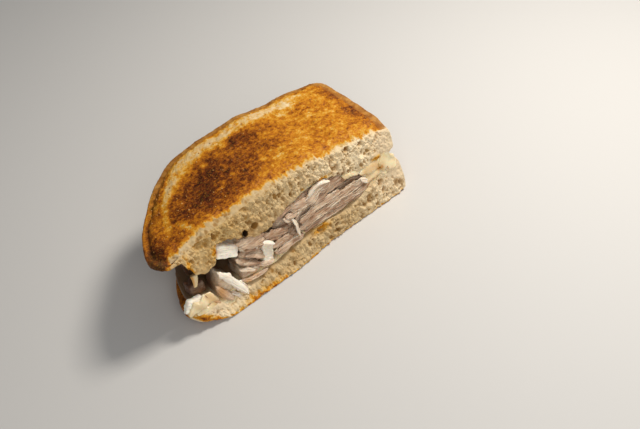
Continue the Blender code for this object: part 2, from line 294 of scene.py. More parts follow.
@dataclass(frozen=True)
class Stack:
    """Levels of the two slices of bread and of the filling between them."""

    outline: HalfOutline = HalfOutline()
    top_crest: Pairs = (
        (-75, 40.3), (-60, 42.4), (-40, 44.6), (-10, 46.3), (15, 46.0), (40, 42.6), (70, 39.6),
    )
    top_thickness: Pairs = ((-75, 5.2), (-62, 7.2), (-40, 12.5), (-18, 14.5))
    under_cut: Pairs = (
        (-75, 35.2), (-67, 35.6), (-61.8, 36.4), (-59.5, 31.0), (-57.0, 26.4), (-52, 24.0), (-47, 25.0),
        (-42, 33.6), (-35, 32.2), (-29, 30.2), (-18, 27.0), (-3, 29.4), (15, 32.6), (50, 23.4), (72, 23.0),
    )
    bottom_crest: Pairs = (
        (-75, 10.0), (-58, 9.2), (-46, 6.8), (-30, 6.0), (-14, 7.0), (0, 9.6), (15, 11.4), (33, 9.8),
        (48, 13.6), (62, 19.0), (74, 20.0),
    )
    crown_fall: float = 1.5
    twist: float = 6.0
    crest_grain: Grain = Grain(0.5, 16, 1)
    cut_roll: float = 2.8
    cut_roll_depth: float = 7.0
    notch_start: float = 1.0
    notch_depth: float = 9.0
    bed_height: float = 10.5
    bed_ease: float = 0.6
    bed_ease_depth: float = 30.0
    bed_grain: Grain = Grain(0.4, 14, 2)
    heel_lift: float = 4.5
    heel_start_x: float = -44.0
    heel_length: float = 28.0
    lean: float = 0.26
    gap: float = 0.5
    wave: float = 1.6
    full_wave_height: float = 12.0
    foot: Pairs = ((-62, 0.0), (-50, 3.0), (-12, 3.0), (22, 0.0))
    ragged: float = 0.9
    ragged_depth: float = 5.0
    lip_x: float = -17.0
    lip_reach: float = 14.5
    lip_drop: float = 2.2
    lip_depth: float = 9.0
    origin: tuple[float, float] = (0.6728, -33.6346)

    def upper_plane(self, x: float, y: float) -> float:
        """The upper slice's own lie: it rises towards the back corner at the loaf's base.

        Args:
            x: Place along the cut.
            y: Depth behind the cut.

        Returns:
            The height of the slice's grilled face, before it rolls down at the cut.
        """
        back = y / self.outline.half_width
        rise = self.twist * back * x / self.outline.base_x
        return along(self.top_crest, x) - self.crown_fall * back**2 + rise

    def crest(self, x: float, y: float) -> float:
        """The grilled face of the upper slice, rolled down at the cut."""
        roll = self.cut_roll * max(0.0, 1 - y / self.cut_roll_depth) ** 2
        return self.upper_plane(x, y) - roll + self.crest_grain.at(x, y)

    def underside(self, x: float, y: float) -> float:
        """The lower face of the upper slice, dragged and ragged near the cut.

        Args:
            x: Place along the cut.
            y: Depth behind the cut.

        Returns:
            The height.
        """
        inside = smooth((y - self.notch_start) / self.notch_depth)
        flat = self.upper_plane(x, y) - along(self.top_thickness, x)
        return lerp(along(self.under_cut, x), flat, inside)

    def torn(self, x: float, y: float, seed: float) -> float:
        """How ragged the edge of a slice is at the cut."""
        uneven = wobble(x, 0, 0, 3.4, seed) + 0.6 * wobble(x, 0, 0, 1.3, seed + 0.5)
        return self.ragged * uneven * fade(y, self.ragged_depth)

    def torn_underside(self, x: float, y: float) -> float:
        """The upper slice's lower face: its ragged edge hangs a little where cheese dragged it down."""
        lip = self.lip_drop * math.exp(-(((x - self.lip_x) / self.lip_reach) ** 4)) * fade(y, self.lip_depth)
        return self.underside(x, y) + self.torn(x, y, 91) - lip

    def torn_bed(self, x: float, y: float) -> float:
        """The lower slice's upper face with its ragged edge."""
        return self.bed(x, y) + self.torn(x, y, 93)

    def torn_sole(self, x: float, y: float) -> float:
        """The lower slice's lower face with its ragged edge."""
        return self.sole(x, y) + max(0.0, self.torn(x, y, 95))

    def sole(self, x: float, y: float) -> float:
        """The grilled face of the lower slice: flat, with its domed end lifted a little."""
        return self.heel_lift * smooth((self.heel_start_x - x) / self.heel_length)

    def bed(self, x: float, y: float) -> float:
        """The upper face of the lower slice, where the filling lies."""
        inside = self.bed_ease * smooth(y / self.bed_ease_depth)
        return lerp(along(self.bottom_crest, x), self.bed_height, inside) + self.bed_grain.at(x, y)

    def level(self, x: float, y: float, share: float) -> float:
        """Height in the filling: share 0 on the lower slice, 1 under the upper one.

        Args:
            x: Place along the cut.
            y: Depth behind the cut.
            share: Share of the filling's height.

        Returns:
            The height.
        """
        low, high = self.bed(x, y) + self.gap, self.underside(x, y) - self.gap
        swell = self.wave * math.sin(math.pi * share) * wobble(x, y, 0, 30, 3)
        return lerp(low, high, share) + swell * min(1.0, (high - low) / self.full_wave_height)

    def seat(self, spot: Vector) -> Vector:
        """Leans a point of stack space back and puts it into the part's frame, in metres."""
        x, y, z = spot
        return Vector((x + self.origin[0], y + self.lean * z + self.origin[1], z)) * MM


STACK = Stack()


def unit_box(columns: int, rows: int, layers: int, fine_cut: bool = False) -> bmesh.types.BMesh:
    """Makes a unit box from 0 to 1 each way.

    Args:
        columns: Cells along x.
        rows: Cells along y.
        layers: Cells along z.
        fine_cut: Whether the side at y 0 has cells of half the size.

    Returns:
        The box, with a grid on every side.
    """
    bm = bmesh.new()
    bmesh.ops.create_cube(bm, size=1.0, matrix=Matrix.Translation((0.5, 0.5, 0.5)))
    for axis, parts in enumerate((columns, rows, layers)):
        edges = [e for e in bm.edges if abs(e.verts[0].co[axis] - e.verts[1].co[axis]) > TINY]
        if parts > 1:
            bmesh.ops.subdivide_edges(bm, edges=edges, cuts=parts - 1, use_grid_fill=True)
    if fine_cut:
        edges = [e for e in bm.edges if max(v.co.y for v in e.verts) < TINY]
        bmesh.ops.subdivide_edges(bm, edges=edges, cuts=1, use_grid_fill=True)
    return bm


def rounded(share: float, power: float = 3.0) -> float:
    """How far an edge has turned in at a share of the thickness: 0 in the middle, 1 at either face."""
    return 1 - max(0.0, 1 - abs(2 * share - 1) ** power) ** (1 / power)


class Mask(Enum):
    """What a mesh tells its finish at each point."""

    TOAST = "toast"
    CRUST = "crust"
    # Painted shade in pores, holes, hollows, folds and the open mouth.
    PAINTED_SHADE = "pore"
    SOAK = "soak"
    # Colour tone; in the bread it carries painted shade along the cut, and in the meat also painted light on
    # ridge tops and painted shade in hollows.
    TONE_AND_SHADE = "tone"


class Slot(Enum):
    """The record's material slots."""

    BREAD = "bread"
    TURKEY = "turkey"
    CHEESE = "cheese"


def mask_layers(bm: bmesh.types.BMesh, *masks: Mask) -> list[bmesh.types.BMLayerItem]:
    """Adds a value per point for each mask."""
    return [bm.verts.layers.float.new(mask.value) for mask in masks]


def serve(name: str, bm: bmesh.types.BMesh, material: bpy.types.Material,
          nodes: Sequence[str] = ()) -> bpy.types.Object:
    """Turns a mesh in stack space into a piece of the sandwich.

    Args:
        name: Name of the piece.
        bm: Its mesh, which is used up.
        material: Its finish.
        nodes: Solids that the piece stands for.

    Returns:
        The piece, riding on the root body.
    """
    for vert in bm.verts:
        vert.co = STACK.seat(vert.co)
    mesh = bpy.data.meshes.new(name)
    bm.to_mesh(mesh)
    bm.free()
    mesh.shade_smooth()
    mesh.materials.append(material)
    piece = bpy.data.objects.new(f"{name}_look", mesh)
    bpy.context.scene.collection.objects.link(piece)
    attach(piece, "root")
    if nodes:
        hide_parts(*nodes)
    LOG.info("%s: %d faces", name, len(mesh.polygons))
    return piece


# ---------------------------------------------------------------- finishes


class NodeBoard:
    """Adds shader nodes to one tree and wires them up."""

    def __init__(self, tree: bpy.types.NodeTree) -> None:
        """Starts with the tree that the nodes go into."""
        self.tree = tree

    def add(self, kind: str, **settings: object) -> bpy.types.Node:
        """Adds a node of a kind and sets its properties.

        Args:
            kind: Blender's name for the kind.
            settings: The properties.

        Returns:
            The node.
        """
        node = self.tree.nodes.new(kind)
        for name, value in settings.items():
            setattr(node, name, value)
        return node

    def feed(self, socket: bpy.types.NodeSocket, value: object) -> None:
        """Links a socket into another, or sets it to a plain value.

        Args:
            socket: The input to feed.
            value: A socket, a number or a colour.
        """
        if isinstance(value, bpy.types.NodeSocket):
            self.tree.links.new(value, socket)
        elif hasattr(value, "__len__") and len(value) == 3 and socket.type == "RGBA":
            socket.default_value = (*value, 1.0)
        else:
            socket.default_value = value

    def math(self, operation: str, a: object, b: object = 0.0, clamp: bool = False) -> bpy.types.NodeSocket:
        """One sum on two values.

        Args:
            operation: The sum to do.
            a: First value.
            b: Second value.
            clamp: Whether the answer is held from 0 to 1.

        Returns:
            The answer.
        """
        node = self.add("ShaderNodeMath", operation=operation, use_clamp=clamp)
        self.feed(node.inputs[0], a)
        self.feed(node.inputs[1], b)
        return node.outputs[0]

    def blend(self, factor: object, a: object, b: object, kind: str = "MIX") -> bpy.types.NodeSocket:
        """Mixes two colours.

        Args:
            factor: Share of the second colour.
            a: First colour.
            b: Second colour.
            kind: How the second colour acts on the first.

        Returns:
            The colour.
        """
        node = self.add("ShaderNodeMix", data_type="RGBA", blend_type=kind)
        self.feed(node.inputs[0], factor)
        self.feed(node.inputs[6], a)
        self.feed(node.inputs[7], b)
        return node.outputs[2]

    def mix(self, factor: object, a: object, b: object) -> bpy.types.NodeSocket:
        """Mixes two numbers.

        Args:
            factor: Share of the second number.
            a: First number.
            b: Second number.

        Returns:
            The number.
        """
        node = self.add("ShaderNodeMix", data_type="FLOAT")
        self.feed(node.inputs[0], factor)
        self.feed(node.inputs[2], a)
        self.feed(node.inputs[3], b)
        return node.outputs[0]

    def span(self, value: object, low: float, high: float, to_low: float = 0.0,
             to_high: float = 1.0) -> bpy.types.NodeSocket:
        """Stretches low to high onto another range, and holds outside it.

        Args:
            value: The number to stretch.
            low: Where the range starts.
            high: Where it ends.
            to_low: What low becomes.
            to_high: What high becomes.

        Returns:
            The stretched number.
        """
        node = self.add("ShaderNodeMapRange", clamp=True)
        for socket, number in zip(node.inputs, (value, low, high, to_low, to_high)):
            self.feed(socket, number)
        return node.outputs[0]

    def ramp(self, factor: object, stops: Sequence[tuple[float, Color]]) -> bpy.types.NodeSocket:
        """Reads a colour from stops along a line.

        Args:
            factor: Place on the line.
            stops: Places and their colours.

        Returns:
            The colour.
        """
        node = self.add("ShaderNodeValToRGB")
        marks = node.color_ramp.elements
        while len(marks) < len(stops):
            marks.new(0.5)
        for mark, (place, color) in zip(marks, stops):
            mark.position = place
            mark.color = (*color, 1.0)
        self.feed(node.inputs[0], factor)
        return node.outputs[0]

    def mask(self, mask: Mask) -> bpy.types.NodeSocket:
        """Reads one of the mesh's own values."""
        return self.add("ShaderNodeAttribute", attribute_name=mask.value).outputs["Fac"]

    def group(self, tree: bpy.types.NodeTree, **values: object) -> bpy.types.NodeSocket:
        """Places a shared effect and gives it this finish's values.

        Args:
            tree: The effect.
            values: Its inputs, with _ for a space.

        Returns:
            The effect's output.
        """
        node = self.add("ShaderNodeGroup", node_tree=tree)
        for name, value in values.items():
            self.feed(node.inputs[name.replace("_", " ")], value)
        return node.outputs[0]


class SharedEffects:
    """Effects that more than one finish uses, each built once as a node group."""

    def __init__(self) -> None:
        """Builds the groups."""
        self.speckle = self._speckle()
        self.surface = self._surface()

    @staticmethod
    def _open(name: str, inputs: Iterable[tuple[str, str, object]],
              output: str) -> tuple[bpy.types.NodeTree, NodeBoard, bpy.types.Node, bpy.types.Node]:
        """Starts a group with named sockets.

        Args:
            name: Name of the group.
            inputs: Label, kind and default of each input.
            output: Label of its output.

        Returns:
            The tree, its board, and the nodes at its two ends.
        """
        tree = bpy.data.node_groups.new(name, "ShaderNodeTree")
        for label, kind, value in inputs:
            socket = tree.interface.new_socket(name=label, in_out="INPUT", socket_type=kind)
            if value is not None:
                socket.default_value = value
        tree.interface.new_socket(name=output, in_out="OUTPUT", socket_type="NodeSocketFloat")
        board = NodeBoard(tree)
        return tree, board, board.add("NodeGroupInput"), board.add("NodeGroupOutput")

    def _speckle(self) -> bpy.types.NodeTree:
        """Patches of a set size in millimetres, which can be drawn out along an axis.

        Returns:
            The group.
        """
        inputs = (
            ("Size", "NodeSocketFloat", 1.0),
            ("Draw Out", "NodeSocketVector", (1.0, 1.0, 1.0)),
            ("Detail", "NodeSocketFloat", 3.0),
            ("Low", "NodeSocketFloat", 0.35),
            ("High", "NodeSocketFloat", 0.65),
        )
        tree, board, source, sink = self._open("speckle", inputs, "Value")
        place = board.add("ShaderNodeTexCoord").outputs["Object"]
        drawn = board.add("ShaderNodeVectorMath", operation="DIVIDE")
        board.feed(drawn.inputs[0], place)
        board.feed(drawn.inputs[1], source.outputs["Draw Out"])
        grain = board.add("ShaderNodeTexNoise")
        board.feed(grain.inputs["Vector"], drawn.outputs[0])
        board.feed(grain.inputs["Scale"], board.math("DIVIDE", 1.0 / MM, source.outputs["Size"]))
        board.feed(grain.inputs["Detail"], source.outputs["Detail"])
        patches = board.span(grain.outputs[0], source.outputs["Low"], source.outputs["High"])
        board.feed(sink.inputs[0], patches)
        return tree

    def _surface(self) -> bpy.types.NodeTree:
        """Fine relief of two sizes, as a height.

        Returns:
            The group.
        """
        inputs = (
            ("Coarse", "NodeSocketFloat", 1.0),
            ("Fine", "NodeSocketFloat", 0.3),
            ("Draw Out", "NodeSocketVector", (1.0, 1.0, 1.0)),
        )
        tree, board, source, sink = self._open("surface", inputs, "Height")
        heights = []
        for label, share in (("Coarse", 0.65), ("Fine", 0.35)):
            size, draw_out = source.outputs[label], source.outputs["Draw Out"]
            value = board.group(self.speckle, Size=size, Draw_Out=draw_out, Low=0.2, High=0.8)
            heights.append(board.math("MULTIPLY", value, share))
        board.feed(sink.inputs[0], board.math("ADD", *heights))
        return tree


@dataclass(frozen=True)
class Gloss:
    """Numbers that are the same all over a surface."""

    specular: float = 0.5
    coat_roughness: float = 0.2
    subsurface: float = 0.0
    subsurface_radius: Color = (1.0, 0.6, 0.35)
    subsurface_mm: float = 1.2
    bump_mm: float = 0.12
    bump_strength: float = 0.6


@dataclass(frozen=True)
class Finish:
    """What every food surface shares: a name, its gloss and the way its nodes end in the shader."""

    name: str
    effects: SharedEffects
    gloss: Gloss = Gloss()

    def start(self) -> tuple[bpy.types.Material, NodeBoard, bpy.types.Node]:
        """Makes an empty material with its shader.

        Returns:
            The material, the board for its nodes, and its shader.
        """
        material = bpy.data.materials.new(self.name)
        material.use_nodes = True
        shader = material.node_tree.nodes["Principled BSDF"]
        shader.inputs["Specular IOR Level"].default_value = self.gloss.specular
        shader.inputs["Coat Roughness"].default_value = self.gloss.coat_roughness
        shader.inputs["Subsurface Weight"].default_value = self.gloss.subsurface
        shader.inputs["Subsurface Radius"].default_value = self.gloss.subsurface_radius
        shader.inputs["Subsurface Scale"].default_value = self.gloss.subsurface_mm * MM
        return material, NodeBoard(material.node_tree), shader

    def finish(self, board: NodeBoard, shader: bpy.types.Node, color: object, roughness: object,
               height: object, coat: object = 0.0) -> None:
        """Feeds colour, roughness, coat and relief into the shader.

        Args:
            board: The material's board.
            shader: Its shader.
            color: Base colour.
            roughness: Roughness.
            height: Fine relief, from 0 to 1.
            coat: Weight of the coat.
        """
        bump = board.add("ShaderNodeBump")
        bump.inputs["Strength"].default_value = self.gloss.bump_strength
        bump.inputs["Distance"].default_value = self.gloss.bump_mm * MM
        board.feed(bump.inputs["Height"], height)
        board.feed(shader.inputs["Base Color"], color)
        board.feed(shader.inputs["Roughness"], roughness)
        board.feed(shader.inputs["Coat Weight"], coat)
        board.feed(shader.inputs["Normal"], bump.outputs[0])


@dataclass(frozen=True)
class GrilledBread(Finish):
    """Crumb, crust and a browned face, told apart by the slice's own masks."""

    crumb_pale: Color = (0.77, 0.61, 0.38)
    crumb_warm: Color = (0.55, 0.35, 0.135)
    # Painted shade in pores and holes, and painted light on the pore walls.
    pore_painted_shade: Color = (0.25, 0.105, 0.016)
    hole_painted_shade: Color = (0.022, 0.009, 0.003)
    crumb_wall_painted_light: Color = (0.88, 0.74, 0.51)
    # Colour multiplied in as painted shade along the cut.
    crumb_painted_shade: Color = (0.58, 0.47, 0.29)
    soaked: Color = (0.66, 0.46, 0.26)
    # A paler colour laid over the browned face in small specks.
    pale_specks: Color = (0.64, 0.31, 0.02)
    browning: Sequence[tuple[float, Color]] = (
        (0.0, (0.67, 0.46, 0.18)),
        (0.16, (0.62, 0.31, 0.035)),
        (0.32, (0.52, 0.188, 0.006)),
        (0.48, (0.37, 0.112, 0.005)),
        (0.64, (0.180, 0.041, 0.0030)),
        (0.80, (0.080, 0.013, 0.0015)),
        (1.0, (0.016, 0.0025, 0.0008)),
    )
    crust_pale: Color = (0.46, 0.225, 0.055)
    crust_brown: Color = (0.26, 0.090, 0.012)

    def build(self) -> bpy.types.Material:
        """Makes the material.

        Returns:
            The material, ready for a mesh.
        """
        material, board, shader = self.start()
        speckle = self.effects.speckle
        toast, crust, pore, soak = (board.mask(m) for m in (Mask.TOAST, Mask.CRUST, Mask.PAINTED_SHADE, Mask.SOAK))

        warm = board.group(speckle, Size=4.0, Low=0.40, High=0.66)
        crumb = board.blend(warm, self.crumb_pale, self.crumb_warm)
        crumb = board.blend(soak, crumb, self.soaked)
        # Painted light on the pore walls, then painted shade along the cut and in the pores.
        crumb = board.blend(board.span(pore, 0.0, 0.12, 0.45, 0.0), crumb, self.crumb_wall_painted_light)
        crumb = board.blend(board.mask(Mask.TONE_AND_SHADE), crumb, self.crumb_painted_shade, "MULTIPLY")
        crumb = board.blend(pore, crumb, self.pore_painted_shade)

        mottle = board.group(speckle, Size=2.4, Draw_Out=(1.2, 1.0, 1.0), Low=0.30, High=0.70)
        granule = board.group(speckle, Size=0.75, Detail=2.0, Draw_Out=(1.2, 1.0, 1.0), Low=0.32, High=0.68)
        uneven = board.span(mottle, 0.0, 1.0, -0.15, 0.15)
        fine = board.span(granule, 0.0, 1.0, -0.13, 0.13)
        heat = board.math("ADD", board.math("ADD", toast, uneven), fine, clamp=True)
        browned = board.ramp(heat, self.browning)
        # Small paler specks over the browned face.
        specks = board.group(speckle, Size=0.55, Detail=1.0, Low=0.56, High=0.70)
        browned = board.blend(board.math("MULTIPLY", specks, 0.30), browned, self.pale_specks)
        face = board.blend(board.span(toast, 0.02, 0.14), crumb, browned)

        mottled = board.group(speckle, Size=3.4, Low=0.36, High=0.64)
        shell = board.blend(mottled, self.crust_pale, self.crust_brown)
        shell = board.blend(board.span(granule, 0.5, 1.0, 0.0, 0.3), shell, self.crust_pale)
        color = board.blend(crust, face, shell)
        # Painted shade: the deepest pores and the holes go nearly black.
        color = board.blend(board.span(pore, 1.0, 1.4), color, self.hole_painted_shade)

        glint = board.group(speckle, Size=0.9, Detail=2.0, Low=0.50, High=0.68)
        oily = board.span(glint, 0.0, 1.0, 0.66, 0.36)
        browned_now = board.span(toast, 0.15, 0.45)
        roughness = board.mix(browned_now, 0.88, oily)
        roughness = board.mix(crust, roughness, 0.62)
        roughness = board.mix(soak, roughness, 0.44)
        height = board.group(self.effects.surface, Coarse=1.0, Fine=0.32)
        self.finish(board, shader, color, roughness, height, board.math("MULTIPLY", browned_now, 0.02))
        return material


@dataclass(frozen=True)
class RoastMeat(Finish):
    """Roast turkey: fibres along the cut, paler or pinker with its tone, which holds its own colour and
    painted light on ridge tops, and painted shade in its folds.
    """

    pale: Color = (0.68, 0.52, 0.37)
    pink: Color = (0.335, 0.185, 0.105)
    white: Color = (0.93, 0.85, 0.71)
    # Painted shade in folds, furrows and the open mouth.
    fold: Color = (0.075, 0.024, 0.007)
    stain: Color = (0.60, 0.27, 0.05)
    stain_share: float = 0.25
    fibre_draw: tuple[float, float, float] = (9.0, 2.0, 1.0)
    fibre_mm: float = 0.7
    roughness: float = 0.46

    def build(self) -> bpy.types.Material:
        """Makes the material.

        Returns:
            The material, ready for a mesh.
        """
        material, board, shader = self.start()
        speckle = self.effects.speckle
        fibres = board.group(speckle, Size=self.fibre_mm, Draw_Out=self.fibre_draw, Low=0.36, High=0.64)
        broad = board.group(speckle, Size=3.2, Draw_Out=(2.5, 1.0, 1.0), Low=0.36, High=0.64)
        tone = board.math("ADD", board.math("MULTIPLY", fibres, 0.45), board.math("MULTIPLY", broad, 0.55))
        # Tone mask: its own colour, with painted light on ridge tops and painted shade in hollows.
        lightness = board.mask(Mask.TONE_AND_SHADE)
        color = board.blend(board.math("ADD", tone, lightness, clamp=True), self.pale, self.pink)
        color = board.blend(board.span(lightness, -0.85, -0.35, 1.0, 0.0), color, self.white)
        stained = board.group(speckle, Size=5.0, Low=0.52, High=0.70)
        color = board.blend(board.math("MULTIPLY", stained, self.stain_share), color, self.stain)
        color = board.blend(board.mask(Mask.TOAST), color, self.stain)
        # Painted shade from the shade mask.
        color = board.blend(board.mask(Mask.PAINTED_SHADE), color, self.fold)
        height = board.group(
            self.effects.surface, Coarse=self.fibre_mm, Fine=self.fibre_mm * 0.4, Draw_Out=self.fibre_draw
        )
        roughness = board.span(fibres, 0.0, 1.0, self.roughness - 0.1, self.roughness + 0.12)
        self.finish(board, shader, color, roughness, height)
        return material


@dataclass(frozen=True)
class MeltedCheese(Finish):
    """Pale melted cheese, softly glossy, with golden patches where it met the grill."""

    cream: Color = (0.90, 0.74, 0.46)
    butter: Color = (0.62, 0.43, 0.20)
    golden: Color = (0.56, 0.25, 0.03)
    shadow: Color = (0.085, 0.030, 0.008)

    def build(self) -> bpy.types.Material:
        """Makes the material.

        Returns:
            The material, ready for a mesh.
        """
        material, board, shader = self.start()
        speckle = self.effects.speckle
        broad = board.group(speckle, Size=5.0, Low=0.38, High=0.66)
        color = board.blend(board.math("MULTIPLY", broad, 0.6), self.cream, self.butter)
        color = board.blend(board.mask(Mask.TOAST), color, self.golden)
        color = board.blend(board.mask(Mask.PAINTED_SHADE), color, self.shadow)
        height = board.group(self.effects.surface, Coarse=2.2, Fine=0.7)
        self.finish(board, shader, color, board.span(broad, 0.0, 1.0, 0.28, 0.44), height, 0.15)
        return material


@dataclass(frozen=True)
class LooseCrumbs(Finish):
    """Toasted crumbs: each piece takes its own place between pale and dark."""

    shades: Sequence[tuple[float, Color]] = (
        (0.0, (0.74, 0.56, 0.28)),
        (0.5, (0.62, 0.30, 0.06)),
        (1.0, (0.24, 0.07, 0.015)),
    )

    def build(self) -> bpy.types.Material:
        """Makes the material.

        Returns:
            The material, ready for a mesh.
        """
        material, board, shader = self.start()
        grain = board.group(self.effects.speckle, Size=0.5, Low=0.3, High=0.7)
        shade = board.math("ADD", board.mask(Mask.TONE_AND_SHADE), board.math("MULTIPLY", grain, 0.25), clamp=True)
        height = board.group(self.effects.surface, Coarse=0.4, Fine=0.15)
        self.finish(board, shader, board.ramp(shade, self.shades), 0.6, height)
        return material


@dataclass(frozen=True)
class PaleBoard(Finish):
    """The plain pale floor."""

    color: Color = (0.62, 0.60, 0.57)

    def build(self) -> bpy.types.Material:
        """Makes the material.

        Returns:
            The material, ready for a mesh.
        """
        material, board, shader = self.start()
        height = board.group(self.effects.surface, Coarse=40.0, Fine=9.0)
        self.finish(board, shader, self.color, 0.62, height)
        return material


# ---------------------------------------------------------------- bread


class GrilledFace(Enum):
    """Which face of a slice lay on the grill."""

    ROOF = 1
    FLOOR = 0


@dataclass(frozen=True)
class HotSpot:
    """A round patch that is browned more, or less, than what lies round it."""

    x: float
    y: float
    reach_x: float
    reach_y: float
    gain: float
    turn_deg: float = 0.0

    def at(self, x: float, y: float) -> float:
        """The patch's share at a place, soft to its edge.

        Args:
            x: Place along the cut.
            y: Place across it.

        Returns:
            The gain there.
        """
        turn = math.radians(self.turn_deg)
        dx, dy = x - self.x, y - self.y
        along_x = (dx * math.cos(turn) + dy * math.sin(turn)) / self.reach_x
        along_y = (dy * math.cos(turn) - dx * math.sin(turn)) / self.reach_y
        return self.gain * math.exp(-(along_x**2 + along_y**2))


@dataclass(frozen=True)
class Pit:
    """A round hole in the cut face."""

    x: float
    z: float
    radius: float
    depth: float
    rim_grain: Grain = Grain(0.16, 1.6, 68)
    softness: float = 0.3
    shadow_reach: float = 0.45
    shadow_base: float = 0.3
    shadow_per_mm: float = 0.22
    darkest: float = 1.5

    def _within(self, x: float, z: float, radius: float) -> float:
        """Whether a place lies inside a rim of that radius, from 0 to 1 with a soft edge."""
        away = math.hypot(x - self.x, z - self.z)
        return smooth((radius - away) / (self.softness * self.radius) + 0.5)

    def at(self, x: float, z: float) -> float:
        """Depth of the hole at a place on the cut, with an uneven rim."""
        return self.depth * self._within(x, z, self.radius * (1 + self.rim_grain.at(x, 0, z)))

    def hole_shade(self, x: float, z: float) -> float:
        """Painted shade of the hole at a place on the cut, from its rim inwards."""
        deepest = min(self.darkest, self.shadow_base + self.shadow_per_mm * self.depth)
        return deepest * self._within(x, z, self.radius + self.shadow_reach)


@dataclass(frozen=True)
class Browning:
    """How a grilled face has browned.

    It has a base tone, patches, a pale ring inside the crust and a pale edge along the cut.
    """

    base: float = 0.38
    patches: Sequence[HotSpot] = ()
    ring_tone: float = 0.09
    ring_inside: Pairs = ((-56, 12.5), (-44, 9.0), (-20, 9.0), (24, 8.0), (60, 9.0))
    ring_width: Pairs = ((-52, 1.9), (-38, 3.4), (-22, 6.0), (34, 5.4), (60, 3.4))
    ring_width_grain: Grain = Grain(0.35, 11, 61)
    ring_wander: Grain = Grain(0.9, 8, 67)
    ring_flatness: int = 4
    ring_calm: float = 0.55
    ring_stop_x: float = 62.0
    ring_stop_ease: float = 26.0
    ring_start_y: float = 10.0
    ring_start_ease: float = 7.0
    ring_front_share: float = 0.55
    ring_front_y: float = 16.0
    ring_front_ease: float = 24.0
    rim_gain: Pairs = ((-66, 0.12), (-20, 0.10))
    rim_reach: float = 7.0
    mottle: Sequence[Grain] = (Grain(0.15, 7, 62, 1.3), Grain(0.14, 2.6, 63, 1.4), Grain(0.14, 1.2, 64, 1.3))
    toast_edge: Pairs = ((-75, 0.0), (75, 0.0))
    edge_grains: Sequence[Grain] = (Grain(1.1, 3.0, 65), Grain(0.9, 1.1, 66))
    edge_softness: float = 2.6

    def bare(self, x: float, y: float) -> float:
        """Whether a place lies on the pale crumb beside the cut, from 0 to 1."""
        edge = along(self.toast_edge, x) + total(self.edge_grains, x, 0)
        return 1 - smooth((y - edge) / self.edge_softness + 0.5)

    def heat(self, x: float, y: float, inside: float) -> float:
        """How brown the face is.

        Args:
            x: Place along the cut.
            y: Depth behind the cut.
            inside: Distance from the crust.

        Returns:
            0 for bare crumb to 1 for nearly black.
        """
        heat = self.base + total(self.patches, x, y)
        width = along(self.ring_width, x) * (1 + self.ring_width_grain.at(x, y))
        middle = along(self.ring_inside, x) + self.ring_wander.at(x, y)
        ring = math.exp(-((abs(inside - middle) / width) ** self.ring_flatness)) * self._ring_share(x, y)
        heat = lerp(heat, self.ring_tone, ring) + along(self.rim_gain, x) * fade(inside, self.rim_reach)
        heat += total(self.mottle, x, y) * (1 - self.ring_calm * ring)
        return min(1.0, max(0.0, heat)) * (1 - self.bare(x, y))

    def _ring_share(self, x: float, y: float) -> float:
        """How plain the pale ring is.

        Args:
            x: Place along the cut.
            y: Depth behind the cut.

        Returns:
            1 along the side crust, falling to 0 at both ends of the cut.
        """
        full = lerp(self.ring_front_share, 1.0, smooth((y - self.ring_front_y) / self.ring_front_ease))
        started = smooth((y - self.ring_start_y) / self.ring_start_ease)
        return smooth((self.ring_stop_x - x) / self.ring_stop_ease) * full * started


@dataclass(frozen=True)
class Plan:
    """Where a slice lies: its length as a share of the half slice's, its shift and its squeezed-out foot."""

    length: float = 1.0
    shift_x: float = 0.0
    foot: Pairs = ((0, 0.0), (1, 0.0))


